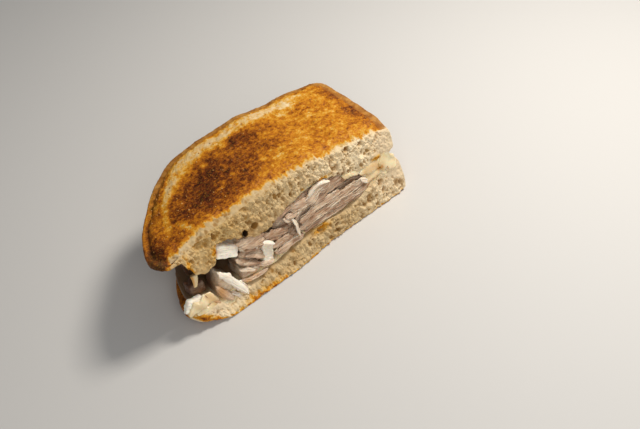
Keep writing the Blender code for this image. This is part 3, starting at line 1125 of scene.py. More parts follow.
@dataclass
class BreadSlice:
    """One slice of bread: a browned face, a crust wall and an open crumb at the cut."""

    name: str
    floor: Callable[[float, float], float]
    roof: Callable[[float, float], float]
    plan: Plan
    rim: float
    cells: tuple[int, int, int]
    grilled: GrilledFace
    browning: Browning
    seed: int
    soaks: Sequence[HotSpot] = ()
    stains: Sequence[HotSpot] = ()
    pits: Sequence[Pit] = ()
    row_ease: float = 1.25
    middle: Vector = field(default_factory=lambda: Vector((0.0, 26.0)))
    crust_swell: float = 0.4
    swell_reach: float = 13.0
    crust_rounding: float = 0.32
    crust_rounding_reach: float = 5.0
    cut_turn: float = 0.15
    cut_rounding: float = 0.128
    cut_rounding_reach: float = 3.0
    cut_reach: float = 4.0
    cut_bulge: float = 0.45
    cut_bulge_size: float = 6.5
    cut_proud: float = 0.4
    foot_reach: float = 7.0
    pore_sizes: tuple[float, float] = (2.5, 1.15)
    pore_depths: tuple[float, float] = (1.5, 0.8)
    large_pore: tuple[float, float] = (5.0, 3.4)
    large_pore_floor: float = 0.22
    strand_height: float = 0.35
    strand_size: float = 2.2
    strand_width: float = 0.12
    soaked_depth: float = 0.3
    edge_share: float = 0.2
    edge_band: float = 1.5
    # How pore depth turns into painted shade.
    shallow: float = 0.15
    pore_span: float = 1.45
    dome_cover: float = 0.85
    # Share of the painted shade that falls on the bare crumb band of the grilled face.
    face_shade: float = 0.85
    wall_band: tuple[float, float] = (1.6, 1.3)
    soak_band: tuple[float, float] = (3.0, 1.6)
    rim_band: tuple[float, float] = (2.0, 1.15)
    rim_cover: float = 0.7
    cut_crust_band: tuple[float, float] = (1.5, 1.1)
    cut_crust: float = 0.75
    toast_line: float = 0.34
    toast_limit: float = 0.6
    golden_crumb: Pairs = ((-64, 0.056), (-38, 0.050), (-12, 0.028), (24, 0.018), (52, 0.010))
    dome_start: float = -36.0
    dome_length: float = 18.0
    dome_heat: float = 0.40
    nose_heat: float = 1.0
    nose_y: float = 26.0
    nose_bare: float = 0.8
    # Painted shade of the crumb along the cut, from 0 to 1.
    shade: Pairs = (
        (-75, 0.2), (-60, 0.5), (-50, 0.8), (-38, 0.9), (-20, 0.75), (2, 0.6), (30, 0.2), (50, 0.0),
    )
    cut_grain: Grain = Grain(0.10, 0.9, 71)
    face_grains: Sequence[Grain] = (Grain(0.20, 4.5, 74), Grain(0.22, 1.4, 75, 1.4), Grain(0.16, 0.8, 76))
    crust_grains: Sequence[Grain] = (Grain(0.30, 6.0, 78), Grain(0.14, 1.6, 79))
    hidden_grain: Grain = Grain(0.25, 3.0, 80)
    toast_grain: Grain = Grain(0.7, 1.6, 81)
    scorch_grains: Sequence[Grain] = (Grain(0.2, 3.5, 83), Grain(0.16, 1.2, 84))
    open_crumb: float = 1.8
    tree: kdtree.KDTree = field(default_factory=STACK.outline.crust_tree)

    def build(self, material: bpy.types.Material) -> bpy.types.Object:
        """Shapes the slice and puts its masks on it.

        Args:
            material: The bread's finish.

        Returns:
            The slice.
        """
        bm = unit_box(*self.cells, fine_cut=True)
        layers = mask_layers(bm, Mask.TOAST, Mask.CRUST, Mask.PAINTED_SHADE, Mask.SOAK, Mask.TONE_AND_SHADE)
        facts = [self._shape(vert) for vert in bm.verts]
        bm.normal_update()
        lifts = [self._relief(vert.co, unit, inside) for vert, (unit, inside, _, _) in zip(bm.verts, facts)]
        for vert, fact, lift in zip(bm.verts, facts, lifts):
            for layer, value in zip(layers, self._masks(vert.co, *fact)):
                vert[layer] = value
            vert.co += vert.normal * lift
            vert.co.z = max(0.0, vert.co.z)
        return serve(self.name, bm, material, (self.name,))

    def _shape(self, vert: bmesh.types.BMVert) -> tuple[Vector, float, float, float]:
        """Moves a point of the unit box onto the slice.

        Args:
            vert: The point, still in the unit box.

        Returns:
            Its place in the unit box, its distance from the crust, the slice's thickness there, and the
            painted shade of the pores and holes it lies in.
        """
        t, v, w = unit = vert.co.copy()
        spot = STACK.outline.at(t, v**self.row_ease)
        inside = self.tree.find(spot.to_3d())[2]
        spot.x = spot.x * self.plan.length + self.plan.shift_x
        low, high = self.floor(*spot), self.roof(*spot)
        turn = rounded(w)
        drop = self.crust_rounding * self.rim * turn * fade(inside, self.crust_rounding_reach)
        drop += self.cut_rounding * self.rim * turn * fade(spot.y, self.cut_rounding_reach)
        inwards = (self.middle - spot).normalized()
        x, y = spot + inwards * self.rim * (turn - self.crust_swell) * fade(inside, self.swell_reach)
        z = lerp(low, high, w) - drop * (1 if w > 0.5 else -1)
        y -= along(self.plan.foot, x) * (1 - w) ** 2 * fade(spot.y, self.foot_reach)
        pore = 0.0
        near_cut = fade(spot.y, self.cut_reach)
        if near_cut > 0:
            from_edge = min(w, 1 - w) * (high - low)
            y += self.cut_turn * self.rim * turn * near_cut
            y += self.cut_bulge * wobble(x, 0, z, self.cut_bulge_size, self.seed + 0.3) * near_cut
            depth = self._pore_depth(Vector((x, 0, z)), inside)
            opened = depth * lerp(self.edge_share, 1.0, smooth(from_edge / self.edge_band))
            y += (opened - self.cut_proud) * near_cut
            # Painted shade, deeper in the deeper pores.
            pore = min(1.0, max(0.0, depth - self.shallow) / self.pore_span) * near_cut
        if unit.y < TINY and 0.02 < w < 0.98:
            y += total(self.pits, x, z)
            # Painted shade in the holes.
            pore = max(pore, sum(pit.hole_shade(x, z) for pit in self.pits))
        vert.co = Vector((x, y, z))
        return unit, inside, high - low, pore

    def _soak(self, x: float, z: float) -> float:
        """How far cheese and juices have soaked into the cut face."""
        return min(1.0, total(self.soaks, x, z))

    def _pore_depth(self, spot: Vector, inside: float) -> float:
        """Depth of the crumb's pores at a place on the cut.

        Args:
            spot: The place, with y left at 0.
            inside: Its distance from the crust.

        Returns:
            The depth, in millimetres.
        """
        depth = sum(
            deep * foam(spot, size, self.seed + i)
            for i, (size, deep) in enumerate(zip(self.pore_sizes, self.pore_depths))
        )
        size, deep = self.large_pore
        depth += deep * max(0.0, bubbles(spot, size, self.seed) - self.large_pore_floor)
        off_strand = abs(wobble(spot.x, 0, spot.z, self.strand_size, self.seed + 0.8))
        depth -= self.strand_height * max(0.0, 1 - off_strand / self.strand_width)
        depth *= lerp(1.0, self.soaked_depth, self._soak(spot.x, spot.z))
        return depth * lerp(0.3, 1.0, smooth(inside / 3.0))

    def _on_grill(self, unit: Vector) -> bool:
        """Whether a point lies on the face that was grilled."""
        return abs(unit.z - self.grilled.value) < TINY

    def _relief(self, spot: Vector, unit: Vector, inside: float) -> float:
        """Fine relief of the finished slice.

        Args:
            spot: The point, in stack space.
            unit: Its place in the unit box.
            inside: Its distance from the crust.

        Returns:
            How far it stands out, in millimetres.
        """
        x, y, z = spot
        if unit.y < TINY:
            return self.cut_grain.at(x, y, z)
        if self._on_grill(unit):
            pits = 0.70 * bubbles(Vector((x / 1.3, y, 0)), 2.1, 72)
            pits += 0.35 * bubbles(Vector((x, y, 5)), 1.1, 73)
            hollow = 0.9 * self._bare_hollow(spot) * smooth(y / 1.5)
            return total(self.face_grains, x, y) - pits * lerp(0.5, 1.0, smooth(inside / 4)) - hollow
        if inside < 1.0:
            crack = max(0.0, 1 - abs(wobble(x, y, 0.6 * z, 5.0, 77)) / 0.05)
            return total(self.crust_grains, x, y, z) - 0.22 * crack
        return self.hidden_grain.at(x, y, z)

    def _bare_hollow(self, spot: Vector) -> float:
        """How hollow the pale crumb is where the grilled face ends at the cut, from 0 to 1."""
        return foam(spot, self.open_crumb, 7) * self.browning.bare(spot.x, spot.y)

    def _masks(self, spot: Vector, unit: Vector, inside: float, thick: float,
               pore: float) -> Sequence[float]:
        """What the finish is told about a point.

        Args:
            spot: The point, in stack space.
            unit: Its place in the unit box.
            inside: Its distance from the crust.
            thick: The slice's thickness there.
            pore: Painted shade of the pores and holes there.

        Returns:
            How browned and crusted it is, its painted shade in pores and hollows, how soaked it is, and its
            painted shade along the cut.
        """
        x, y, z = spot
        from_grill = thick * abs(unit.z - self.grilled.value)
        on_wall = beside(inside, *self.wall_band)
        soak = self._soak(x, z) * beside(y, *self.soak_band)
        dome = smooth((self.dome_start - x) / self.dome_length)
        # Painted shade of the crumb along the cut.
        shade = along(self.shade, x)
        if self._on_grill(unit):
            edge = self.rim_cover * beside(inside, *self.rim_band) * (1 - self.dome_cover * dome)
            # Painted shade in the hollows of the bare crumb band.
            hollow = 0.8 * self._bare_hollow(spot)
            soak *= self.browning.bare(x, y)
            return self.browning.heat(x, y, inside), edge, hollow, soak, self.face_shade * shade
        toast = 0.0
        if unit.y < TINY or y < self.nose_bare:
            toast = self.toast_line * smooth(1.15 - from_grill / 1.1 + self.toast_grain.at(x, y, z))
            toast *= 1 - smooth(1.6 * self.browning.bare(x, 0.5))
            toast += along(self.golden_crumb, x)
            toast += total(self.stains, x, z) * (1 + wobble(x, 0, z, 1.5, 82))
            toast = min(self.toast_limit, toast)
        walled = self._walled(y)
        if unit.y < TINY:
            crust = self.cut_crust * beside(inside, *self.cut_crust_band) * walled
            return toast, crust, pore, soak, shade
        scorched = lerp(self.dome_heat, self.nose_heat, smooth((self.nose_y - y) / self.nose_y))
        scorched += total(self.scorch_grains, x, y, z)
        crust = on_wall * (1 - self.dome_cover * dome) * walled
        return max(toast, scorched * dome * walled), crust, pore, soak, shade

    def _walled(self, y: float) -> float:
        """Whether the side wall has its crust there: the torn nose of the lower slice shows bare crumb."""
        return smooth((y - self.nose_bare) / 2.0 + 1.0)


@dataclass(frozen=True)
class Loaf:
    """The two slices of bread."""

    effects: SharedEffects
    upper_patches: Sequence[HotSpot] = (
        HotSpot(-31, 20, 25, 17, 0.31, 22),
        HotSpot(-18, 11, 20, 6, 0.13, -8),
        HotSpot(-42, 18, 11, 9, 0.08),
        HotSpot(-16, 34, 13, 8, 0.17, 20),
        HotSpot(7, 40, 9, 6, 0.24, -15),
        HotSpot(8, 26, 8, 9, 0.11),
        HotSpot(22, 36, 8, 5, 0.10, -20),
        HotSpot(0, 14, 8, 6, 0.10),
        HotSpot(-6, 27, 20, 13, 0.12),
        HotSpot(64, 14, 4.5, 12, 0.16),
        HotSpot(66, 34, 3.5, 14, 0.15),
        HotSpot(-71, 7, 8, 10, 0.46),
        HotSpot(-63, 24, 7, 12, 0.05),
        HotSpot(4, 15, 2.0, 2.2, -0.40),
        HotSpot(10, 11, 3.0, 2.0, -0.20),
        HotSpot(-49, 10, 2.0, 5.0, -0.46, 10),
        HotSpot(-12.5, 19, 1.8, 1.5, -0.32),
        HotSpot(-16.5, 36.5, 2.0, 2.4, -0.32),
        HotSpot(-1, 43, 1.8, 5.0, -0.28),
        HotSpot(42, 27, 2.5, 2.5, -0.14),
        HotSpot(45, 33.7, 1.1, 0.8, 0.5),
        HotSpot(35, 40, 10, 4, -0.08),
        HotSpot(50, 45, 12, 6, -0.14),
    )
    upper_toast_edge: Pairs = (
        (-75, 2.0), (-60, 3.0), (-50, 3.4), (-30, 2.8), (0, 1.6), (20, 1.0), (75, 0.8),
    )
    lower_patches: Sequence[HotSpot] = (HotSpot(-10, 26, 36, 16, 0.22, 8), HotSpot(48, 30, 16, 16, -0.1))

    def upper(self) -> BreadSlice:
        """The upper slice, browned on its roof, with the holes and the torn lip of its cut.

        Returns:
            The slice, ready to build.
        """
        return BreadSlice(
            name="bread_top", floor=STACK.torn_underside, roof=STACK.crest, plan=Plan(), rim=4.0,
            cells=(280, 84, 32), grilled=GrilledFace.ROOF, seed=1,
            browning=Browning(patches=self.upper_patches, toast_edge=self.upper_toast_edge),
            soaks=(
                HotSpot(-27, 28.5, 9, 3.0, 1.0, -10), HotSpot(63, 31, 7, 10, 0.9),
                HotSpot(58, 24, 9, 3, 0.8), HotSpot(-54, 27, 4, 5, 0.8),
                HotSpot(10, 31, 22, 1.4, 0.7), HotSpot(-4, 28.5, 12, 1.5, 0.6),
            ),
            stains=(
                HotSpot(-59.6, 29, 1.3, 6.5, 0.30), HotSpot(-45.0, 31.4, 1.5, 2.2, 0.24, -30),
                HotSpot(18, 32.0, 7, 0.9, 0.30), HotSpot(57, 24.5, 3.0, 1.4, 0.25),
            ),
            pits=(Pit(-27.0, 30.5, 1.5, 6.5), Pit(-20.8, 31.4, 1.35, 3.0), Pit(-42.5, 37.8, 1.1, 1.8)),
        )

    def lower(self) -> BreadSlice:
        """The lower slice, browned on its sole, with a torn nose of bare crumb.

        Returns:
            The slice, ready to build.
        """
        return BreadSlice(
            name="bread_bottom", floor=STACK.torn_sole, roof=STACK.torn_bed,
            plan=Plan(length=0.965, shift_x=3.5, foot=STACK.foot), rim=3.0,
            cells=(270, 72, 26), grilled=GrilledFace.FLOOR, seed=2, nose_heat=0.6, dome_heat=0.45,
            nose_bare=7.5, golden_crumb=((-70, 0.0), (-40, 0.02), (60, 0.015)),
            # Painted shade of the lower crumb, darkest in the middle of the cut.
            shade=((-62, 0.0), (-40, 0.2), (-24, 0.7), (30, 0.7), (48, 0.3), (60, 0.0)),
            browning=Browning(base=0.42, patches=self.lower_patches),
            soaks=(
                HotSpot(-56, 9, 12, 5, 1.0), HotSpot(66, 14, 9, 9, 1.0), HotSpot(-38, 8, 14, 2.6, 0.8),
                HotSpot(10, 11, 40, 2.0, 0.6),
            ),
            stains=(
                HotSpot(-60, 4.8, 10, 1.5, 0.48, -37), HotSpot(57, 19.5, 1.9, 1.6, 0.40),
                HotSpot(-30, 1.0, 12, 1.6, 0.22), HotSpot(14, 9.5, 4.5, 1.5, 0.28),
            ),
            pits=(Pit(-34.0, 9.0, 1.5, 3.5), Pit(13.0, 9.8, 2.2, 2.4)),
        )

    def build(self) -> None:
        """Makes both slices."""
        gloss = Gloss(specular=0.12, subsurface=0.05, bump_mm=0.25)
        material = GrilledBread("grilled_bread", self.effects, gloss).build()
        self.upper().build(material)
        self.lower().build(material)


# ---------------------------------------------------------------- turkey


STAINS = (
    HotSpot(53, 21.5, 7.0, 3.0, 0.40), HotSpot(51, 15, 6.0, 3.0, 0.28), HotSpot(-55, 12, 2.0, 5.0, 0.45, 20),
    HotSpot(-49, 12, 3.0, 5.0, 0.6, -20), HotSpot(-34, 8.5, 1.8, 1.5, 0.8), HotSpot(-29, 9.5, 2.0, 1.2, 0.6),
    HotSpot(-45.2, 31, 1.4, 2.6, 0.7, -30), HotSpot(41, 21.8, 4.5, 0.7, 0.8, -14),
    HotSpot(57, 19.3, 2.0, 1.3, 1.0),
)
DEEPEST_STAIN = 0.9


def stained(x: float, z: float) -> float:
    """How golden the filling is at a place on the cut."""
    return min(DEEPEST_STAIN, total(STAINS, x, z))


@dataclass(frozen=True)
class Groove:
    """A fold that runs across the cut face of the roast, given painted shade where it is deep."""

    points: Pairs
    width: float
    depth: float

    def at(self, x: float, z: float) -> float:
        """How deep the fold is at a place on the cut, from 0 to its depth.

        Args:
            x: Place along the cut.
            z: Height.

        Returns:
            The depth, in millimetres.
        """
        spot = Vector((x, z))
        nearest = min(self._away(spot, Vector(a), Vector(b)) for a, b in zip(self.points, self.points[1:]))
        return self.depth * math.exp(-((nearest / self.width) ** 2))

    @staticmethod
    def _away(spot: Vector, start: Vector, end: Vector) -> float:
        """Distance from a straight run.

        Args:
            spot: Where to measure from.
            start: Start of the run.
            end: Its end.

        Returns:
            The distance.
        """
        run = end - start
        share = min(1.0, max(0.0, (spot - start).dot(run) / run.length_squared))
        return (start + run * share - spot).length


@dataclass(frozen=True)
class Sheet:
    """A wavy sheet of the filling, between two shares of its height."""

    ends: tuple[float, float]
    front: Callable[[float], float]
    back: float
    shares: Callable[[float], tuple[float, float]]
    seed: int
    inset: float
    plump: float
    cells: tuple[int, int, int]
    front_ease: float = 1.8
    edge_band: float = 0.18
    edge_reach: float = 7.0
    full_depth: float = 60.0

    def _pull(self, share: float, length: float) -> float:
        """How far an edge is drawn in at a share of a length: 1 at its start, -1 at its end."""
        return fade(share * length, self.edge_reach) - fade((1 - share) * length, self.edge_reach)

    def shape(self, unit: Vector) -> tuple[Vector, float]:
        """Moves a point of the unit box onto the sheet.

        Args:
            unit: The point, from 0 to 1 each way.

        Returns:
            Its place in stack space, and its share of the filling's height.
        """
        a, b, w = unit.x, unit.y**self.front_ease, unit.z
        t = lerp(*self.ends, a)
        spot = STACK.outline.at(t, lerp(self.front(t), self.back, b))
        start, end = (STACK.outline.at(share, 0.5).x for share in self.ends)
        ragged = 0.5 + 0.5 * wobble(spot.x, spot.y, 0, 7, self.seed)
        ragged += 0.5 * wobble(spot.x, spot.y, 14 * w, 2.6, self.seed + 0.5) + 0.35 * rounded(w, 2.4)
        push = Vector((self._pull(a, end - start), self._pull(b, self.full_depth)))
        spot += push * self.inset * ragged
        rim = max(abs(2 * a - 1), abs(2 * b - 1))
        thin = self.plump * smooth((rim - 1 + self.edge_band) / self.edge_band)
        share = lerp(*self.shares(t), lerp(thin / 2, 1 - thin / 2, w))
        return Vector((spot.x, spot.y, STACK.level(spot.x, spot.y, share))), share


def fibres(x: float, y: float, across: float, seed: float) -> float:
    """Ridges of meat fibres that run along the cut, from about -0.5 to 0.5.

    Args:
        x: Place along the cut.
        y: Depth behind the cut.
        across: Place across the fibres.
        seed: Which piece of meat.

    Returns:
        The height of the ridge.
    """
    broad = 1 - 3.2 * abs(wobble(x / 9.0, y / 4.0, across / 1.25, 1.0, seed))
    fine = 1 - 3.2 * abs(wobble(x / 5.0, y / 2.5, across / 0.6, 1.0, seed + 0.4))
    return 0.34 * broad + 0.16 * fine


@dataclass(frozen=True)
class Roast:
    """Sliced turkey: the stack at the right and the folds at the left."""

    effects: SharedEffects
    slit: float = 0.010
    starts: Sequence[float] = (0.43, 0.42, 0.44, 0.425, 0.435)
    stops: Sequence[float] = (0.84, 0.88, 0.875, 0.88, 0.83)
    fronts: Sequence[float] = (0.034, 0.040, 0.032, 0.046, 0.034)
    backs: Sequence[float] = (0.97, 0.92, 0.96, 0.91, 0.94)
    fold_start: float = 0.10
    fold_front: float = 0.34
    fold_stops: Sequence[float] = (0.375, 0.245)
    fold_backs: Sequence[float] = (0.95, 0.92)
    filling_mm: float = 18.0
    cut_reach: float = 9.0
    # Painted light and shade: ridge tops are painted paler, and the grooves, furrows and open mouth darker.
    ridge_painted_light: float = -0.22
    patch_tone: float = 0.28
    patch_size: float = 6.0
    base_tone: float = -0.05
    groove_shade: float = 0.26
    furrow_shade: float = 0.5
    mouth_gloom: float = 0.07
    darkest: float = 0.92
    sunk: float = 0.1
    grooves: Sequence[Groove] = (
        Groove(((1.6, 21.5), (6, 22.6), (15.3, 23.3), (20.1, 26.8), (24.7, 29.8)), 0.75, 3.6),
        Groove(((23.9, 22.8), (33, 22.9), (39.7, 22.3), (46.3, 21.2)), 0.7, 3.2),
        Groove(((24, 13.6), (33.7, 12.6)), 0.6, 1.8),
        Groove(((-10.3, 24.2), (-6, 25.6), (-2.0, 27.2)), 1.0, 3.6),
        Groove(((-14, 19.4), (-8, 18.6), (-2.5, 19.2)), 0.8, 2.8),
        Groove(((1.0, 15.5), (0.4, 20.0)), 0.8, 2.6),
        Groove(((-4, 15.6), (8, 17.2), (22, 18.2), (40, 17.0)), 0.5, 1.2),
        Groove(((27, 27.0), (35, 26.6)), 0.5, 1.6),
    )

    def _sheets(self) -> list[tuple[str, Sheet]]:
        """The slices and folds, from the lowest up.

        Returns:
            Each one's name and sheet.
        """
        low, high = CHEESE_SHARE + self.slit, 1 - CHEESE_SHARE - self.slit
        count = len(self.starts)
        thickness = (high - low) / count
        found = []
        for i in range(count):
            bottom = low + i * thickness
            pair = (bottom + self.slit, bottom + thickness - self.slit)
            sheet = Sheet(
                ends=(self.starts[i], self.stops[i]), front=lambda t, f=self.fronts[i]: f,
                back=self.backs[i], shares=lambda t, p=pair: p, seed=5 + i, inset=1.8, plump=0.34,
                cells=(130, 26, 14),
            )
            found.append((f"turkey_slice_{i + 1}", sheet))
        middle = lerp(low, high, (count - 1) / count)
        pairs = ((low + self.slit, middle - self.slit), (middle + self.slit, high - self.slit))
        for i, pair in enumerate(pairs):
            sheet = Sheet(
                ends=(self.fold_start, self.fold_stops[i]), front=lambda t: self.fold_front,
                back=self.fold_backs[i], shares=lambda t, p=pair: p, seed=11 + i, inset=2.0, plump=0.5,
                cells=(60, 40, 16),
            )
            found.append((f"turkey_fold_{i + 1}", sheet))
        return found

    def build(self) -> None:
        """Makes every slice and fold."""
        gloss = Gloss(specular=0.3, subsurface=0.25, bump_mm=0.16, bump_strength=0.7)
        material = RoastMeat("roast_turkey", self.effects, gloss).build()
        for name, sheet in self._sheets():
            self._slice(name, sheet, material)

    def _slice(self, name: str, sheet: Sheet, material: bpy.types.Material) -> bpy.types.Object:
        """Makes one slice, with its fibres and with the folds that cross the cut face.

        Args:
            name: Name of the slice.
            sheet: Its shape.
            material: Its finish.

        Returns:
            The slice.
        """
        bm = unit_box(*sheet.cells)
        tone, crease_shade = mask_layers(bm, Mask.TONE_AND_SHADE, Mask.PAINTED_SHADE)
        crosswise = []
        for vert in bm.verts:
            vert.co, share = sheet.shape(vert.co)
            crosswise.append(share * self.filling_mm)
        bm.normal_update()
        for vert, across in zip(bm.verts, crosswise):
            x, y, z = vert.co
            ridge = fibres(x, y, across, sheet.seed)
            near_cut = fade(y, self.cut_reach)
            deep = total(self.grooves, x, z) * near_cut if near_cut > 0 else 0.0
            patch = wobble(x, 0, across, self.patch_size, sheet.seed)
            # Painted light on the ridge tops and painted shade in the furrows, grooves and open mouth.
            vert[tone] = self.ridge_painted_light * ridge + self.patch_tone * patch + self.base_tone
            dark = self.groove_shade * deep + self.furrow_shade * max(0.0, -ridge)
            vert[crease_shade] = min(self.darkest, dark + gloom(vert.co, self.mouth_gloom))
            vert.co += vert.normal * (ridge - self.sunk)
            vert.co.y += deep
        return serve(name, bm, material, (name,))


@dataclass(frozen=True)
class Leaf:
    """A thin torn leaf of meat on the cut face, drawn along a path of (x, z) points."""

    path: Pairs
    width: float
    tone: float = 0.0
    front: float = 0.6
    thick: float = 1.3
    shingle: float = 0.45
    ridged: float = 0.5
    ragged: float = 0.35
    end_shift: float = 0.14
    end_taper: float = 2.6
    end_curl: float = 0.5
    edge_tear: float = 0.55
    edge_thinning: float = 0.8
    waviness: float = 0.8

    def middle(self, u: float) -> Vector:
        """A point of the eased middle line as (x, z), u from 0 to 1.

        Args:
            u: Share of the way along.

        Returns:
            The point.
        """
        last = len(self.path) - 1
        i = min(int(u * last), last - 1)
        t = u * last - i
        a, b, c, d = (Vector(self.path[min(max(k, 0), last)]) for k in range(i - 1, i + 3))
        bend, turn = 2 * a - 5 * b + 4 * c - d, 3 * b - a - 3 * c + d
        return 0.5 * (2 * b + (c - a) * t + bend * t**2 + turn * t**3)

    def line(self, u: float) -> tuple[Vector, Vector]:
        """A point of the middle line and the direction across the leaf there."""
        run = self.middle(min(1.0, u + 0.03)) - self.middle(max(0.0, u - 0.03))
        return self.middle(u), Vector((-run.y, run.x)).normalized()

    def shape(self, unit: Vector, seed: float) -> tuple[Vector, float]:
        """Moves a point of the unit box onto the leaf.

        Args:
            unit: The point: along the leaf, through it and across it.
            seed: Which leaf.

        Returns:
            Its place in stack space, and how hollow its fibres are there, from 0 to 1.
        """
        across = 2 * unit.z - 1
        ending = abs(2 * unit.x - 1)
        u = min(1.0, max(0.0, unit.x + self.end_shift * across * wobble(seed, 0, 0, 1.7, 0.3) * ending))
        middle, side = self.line(u)
        reach = self.width / 2 * max(0.015, 1 - ending**self.end_taper) ** 0.55
        reach *= 1 + self.ragged * wobble(middle.x, 3 * across, middle.y, 2.8, seed)
        torn = self.edge_tear * wobble(middle.x, 4 * across, middle.y, 1.2, seed + 0.3) * abs(across) ** 3
        spot = middle + side * (across * reach + torn * min(1.0, self.width / 3))
        ridge = abs(wobble(middle.x / 7.0, 0, across * self.width / 1.7, 1.0, seed + 0.5))
        ridge += 0.5 * abs(wobble(middle.x / 4.0, 0, across * self.width / 0.8, 1.0, seed + 0.7))
        full = 1 - self.edge_thinning * abs(across) ** 3
        deep = self.front + self.shingle * across + self.thick * (unit.y - 0.5) * full
        deep += self.end_curl * ending**3
        deep += self.waviness * wobble(middle.x, across, middle.y, 6.0, seed + 0.1)
        deep += (1 - unit.y) * self.ridged * ridge * full
        return Vector((spot.x, deep, spot.y)), min(1.0, 3.2 * ridge * self.ridged)


def leaf_pile(leaves: Sequence[Leaf], seed: int) -> bmesh.types.BMesh:
    """Makes leaves as one mesh, with their tone, painted shade in their hollows, and stains.

    Args:
        leaves: The leaves.
        seed: Seed of the first one.

    Returns:
        The mesh, in stack space.
    """
    bm = bmesh.new()
    for i in range(len(leaves)):
        bmesh.ops.create_cube(bm, size=1.0, matrix=Matrix.Translation((2 * i + 0.5, 0.5, 0.5)))
    for axis, parts in enumerate((64, 2, 16)):
        edges = [e for e in bm.edges if abs(e.verts[0].co[axis] - e.verts[1].co[axis]) > 0.5]
        bmesh.ops.subdivide_edges(bm, edges=edges, cuts=parts - 1, use_grid_fill=True)
    tone, crease_shade, toast = mask_layers(bm, Mask.TONE_AND_SHADE, Mask.PAINTED_SHADE, Mask.TOAST)
    for vert in bm.verts:
        i = int(vert.co.x / 2 + 0.1)
        vert.co.x -= 2 * i
        vert.co, hollow = leaves[i].shape(vert.co, seed + i)
        x, _, z = vert.co
        # Hollow fibres are painted pinker and darker as shade.
        vert[tone] = leaves[i].tone + 0.3 * hollow + 0.2 * wobble(x, 0, z, 4.0, i)
        vert[crease_shade] = 0.13 * max(0.0, hollow - 0.3)
        vert[toast] = stained(x, z)
    return bm


@dataclass(frozen=True)
class Strand:
    """A torn strand of meat that lies along a leaf."""

    leaf: Leaf
    start: float
    stop: float
    offset: float
    thick: float
    tone: float

    @classmethod
    def drawn(cls, leaf: Leaf, draw: random.Random) -> Strand:
        """Draws a strand's place on a leaf, its size and its tone.

        Args:
            leaf: The leaf.
            draw: Where the numbers come from.

        Returns:
            The strand.
        """
        start = draw.uniform(0.0, 0.7)
        return cls(
            leaf=leaf, start=start, stop=min(1.0, start + draw.uniform(0.2, 0.5)),
            offset=draw.uniform(-0.46, 0.46) * leaf.width, thick=draw.uniform(0.18, 0.42),
            tone=leaf.tone + draw.uniform(-0.35, 0.05),
        )

    def middle(self, u: float, seed: int) -> Vector:
        """A point of the strand's middle line, u from 0 to 1.

        Args:
            u: Share of the way along.
            seed: Which strand.

        Returns:
            The point, in stack space.
        """
        place, side = self.leaf.line(lerp(self.start, self.stop, u))
        spot = place + side * (self.offset + 0.6 * wobble(place.x, 0, place.y, 3.5, seed + 0.3))
        deep = self.leaf.front + 2 * self.leaf.shingle * self.offset / self.leaf.width - 0.35
        deep += 0.35 * wobble(place.x, 0, place.y, 4, seed + 0.7) + 0.7 * abs(2 * u - 1) ** 3
        return Vector((spot.x, deep, spot.y))

    def thickness(self, u: float, x: float, seed: int) -> float:
        """The strand's thickness along it, tapering to both ends."""
        return self.thick * math.sqrt(max(0.04, 1 - (2 * u - 1) ** 4)) * (1 + 0.3 * wobble(x, 0, 0, 3, seed))


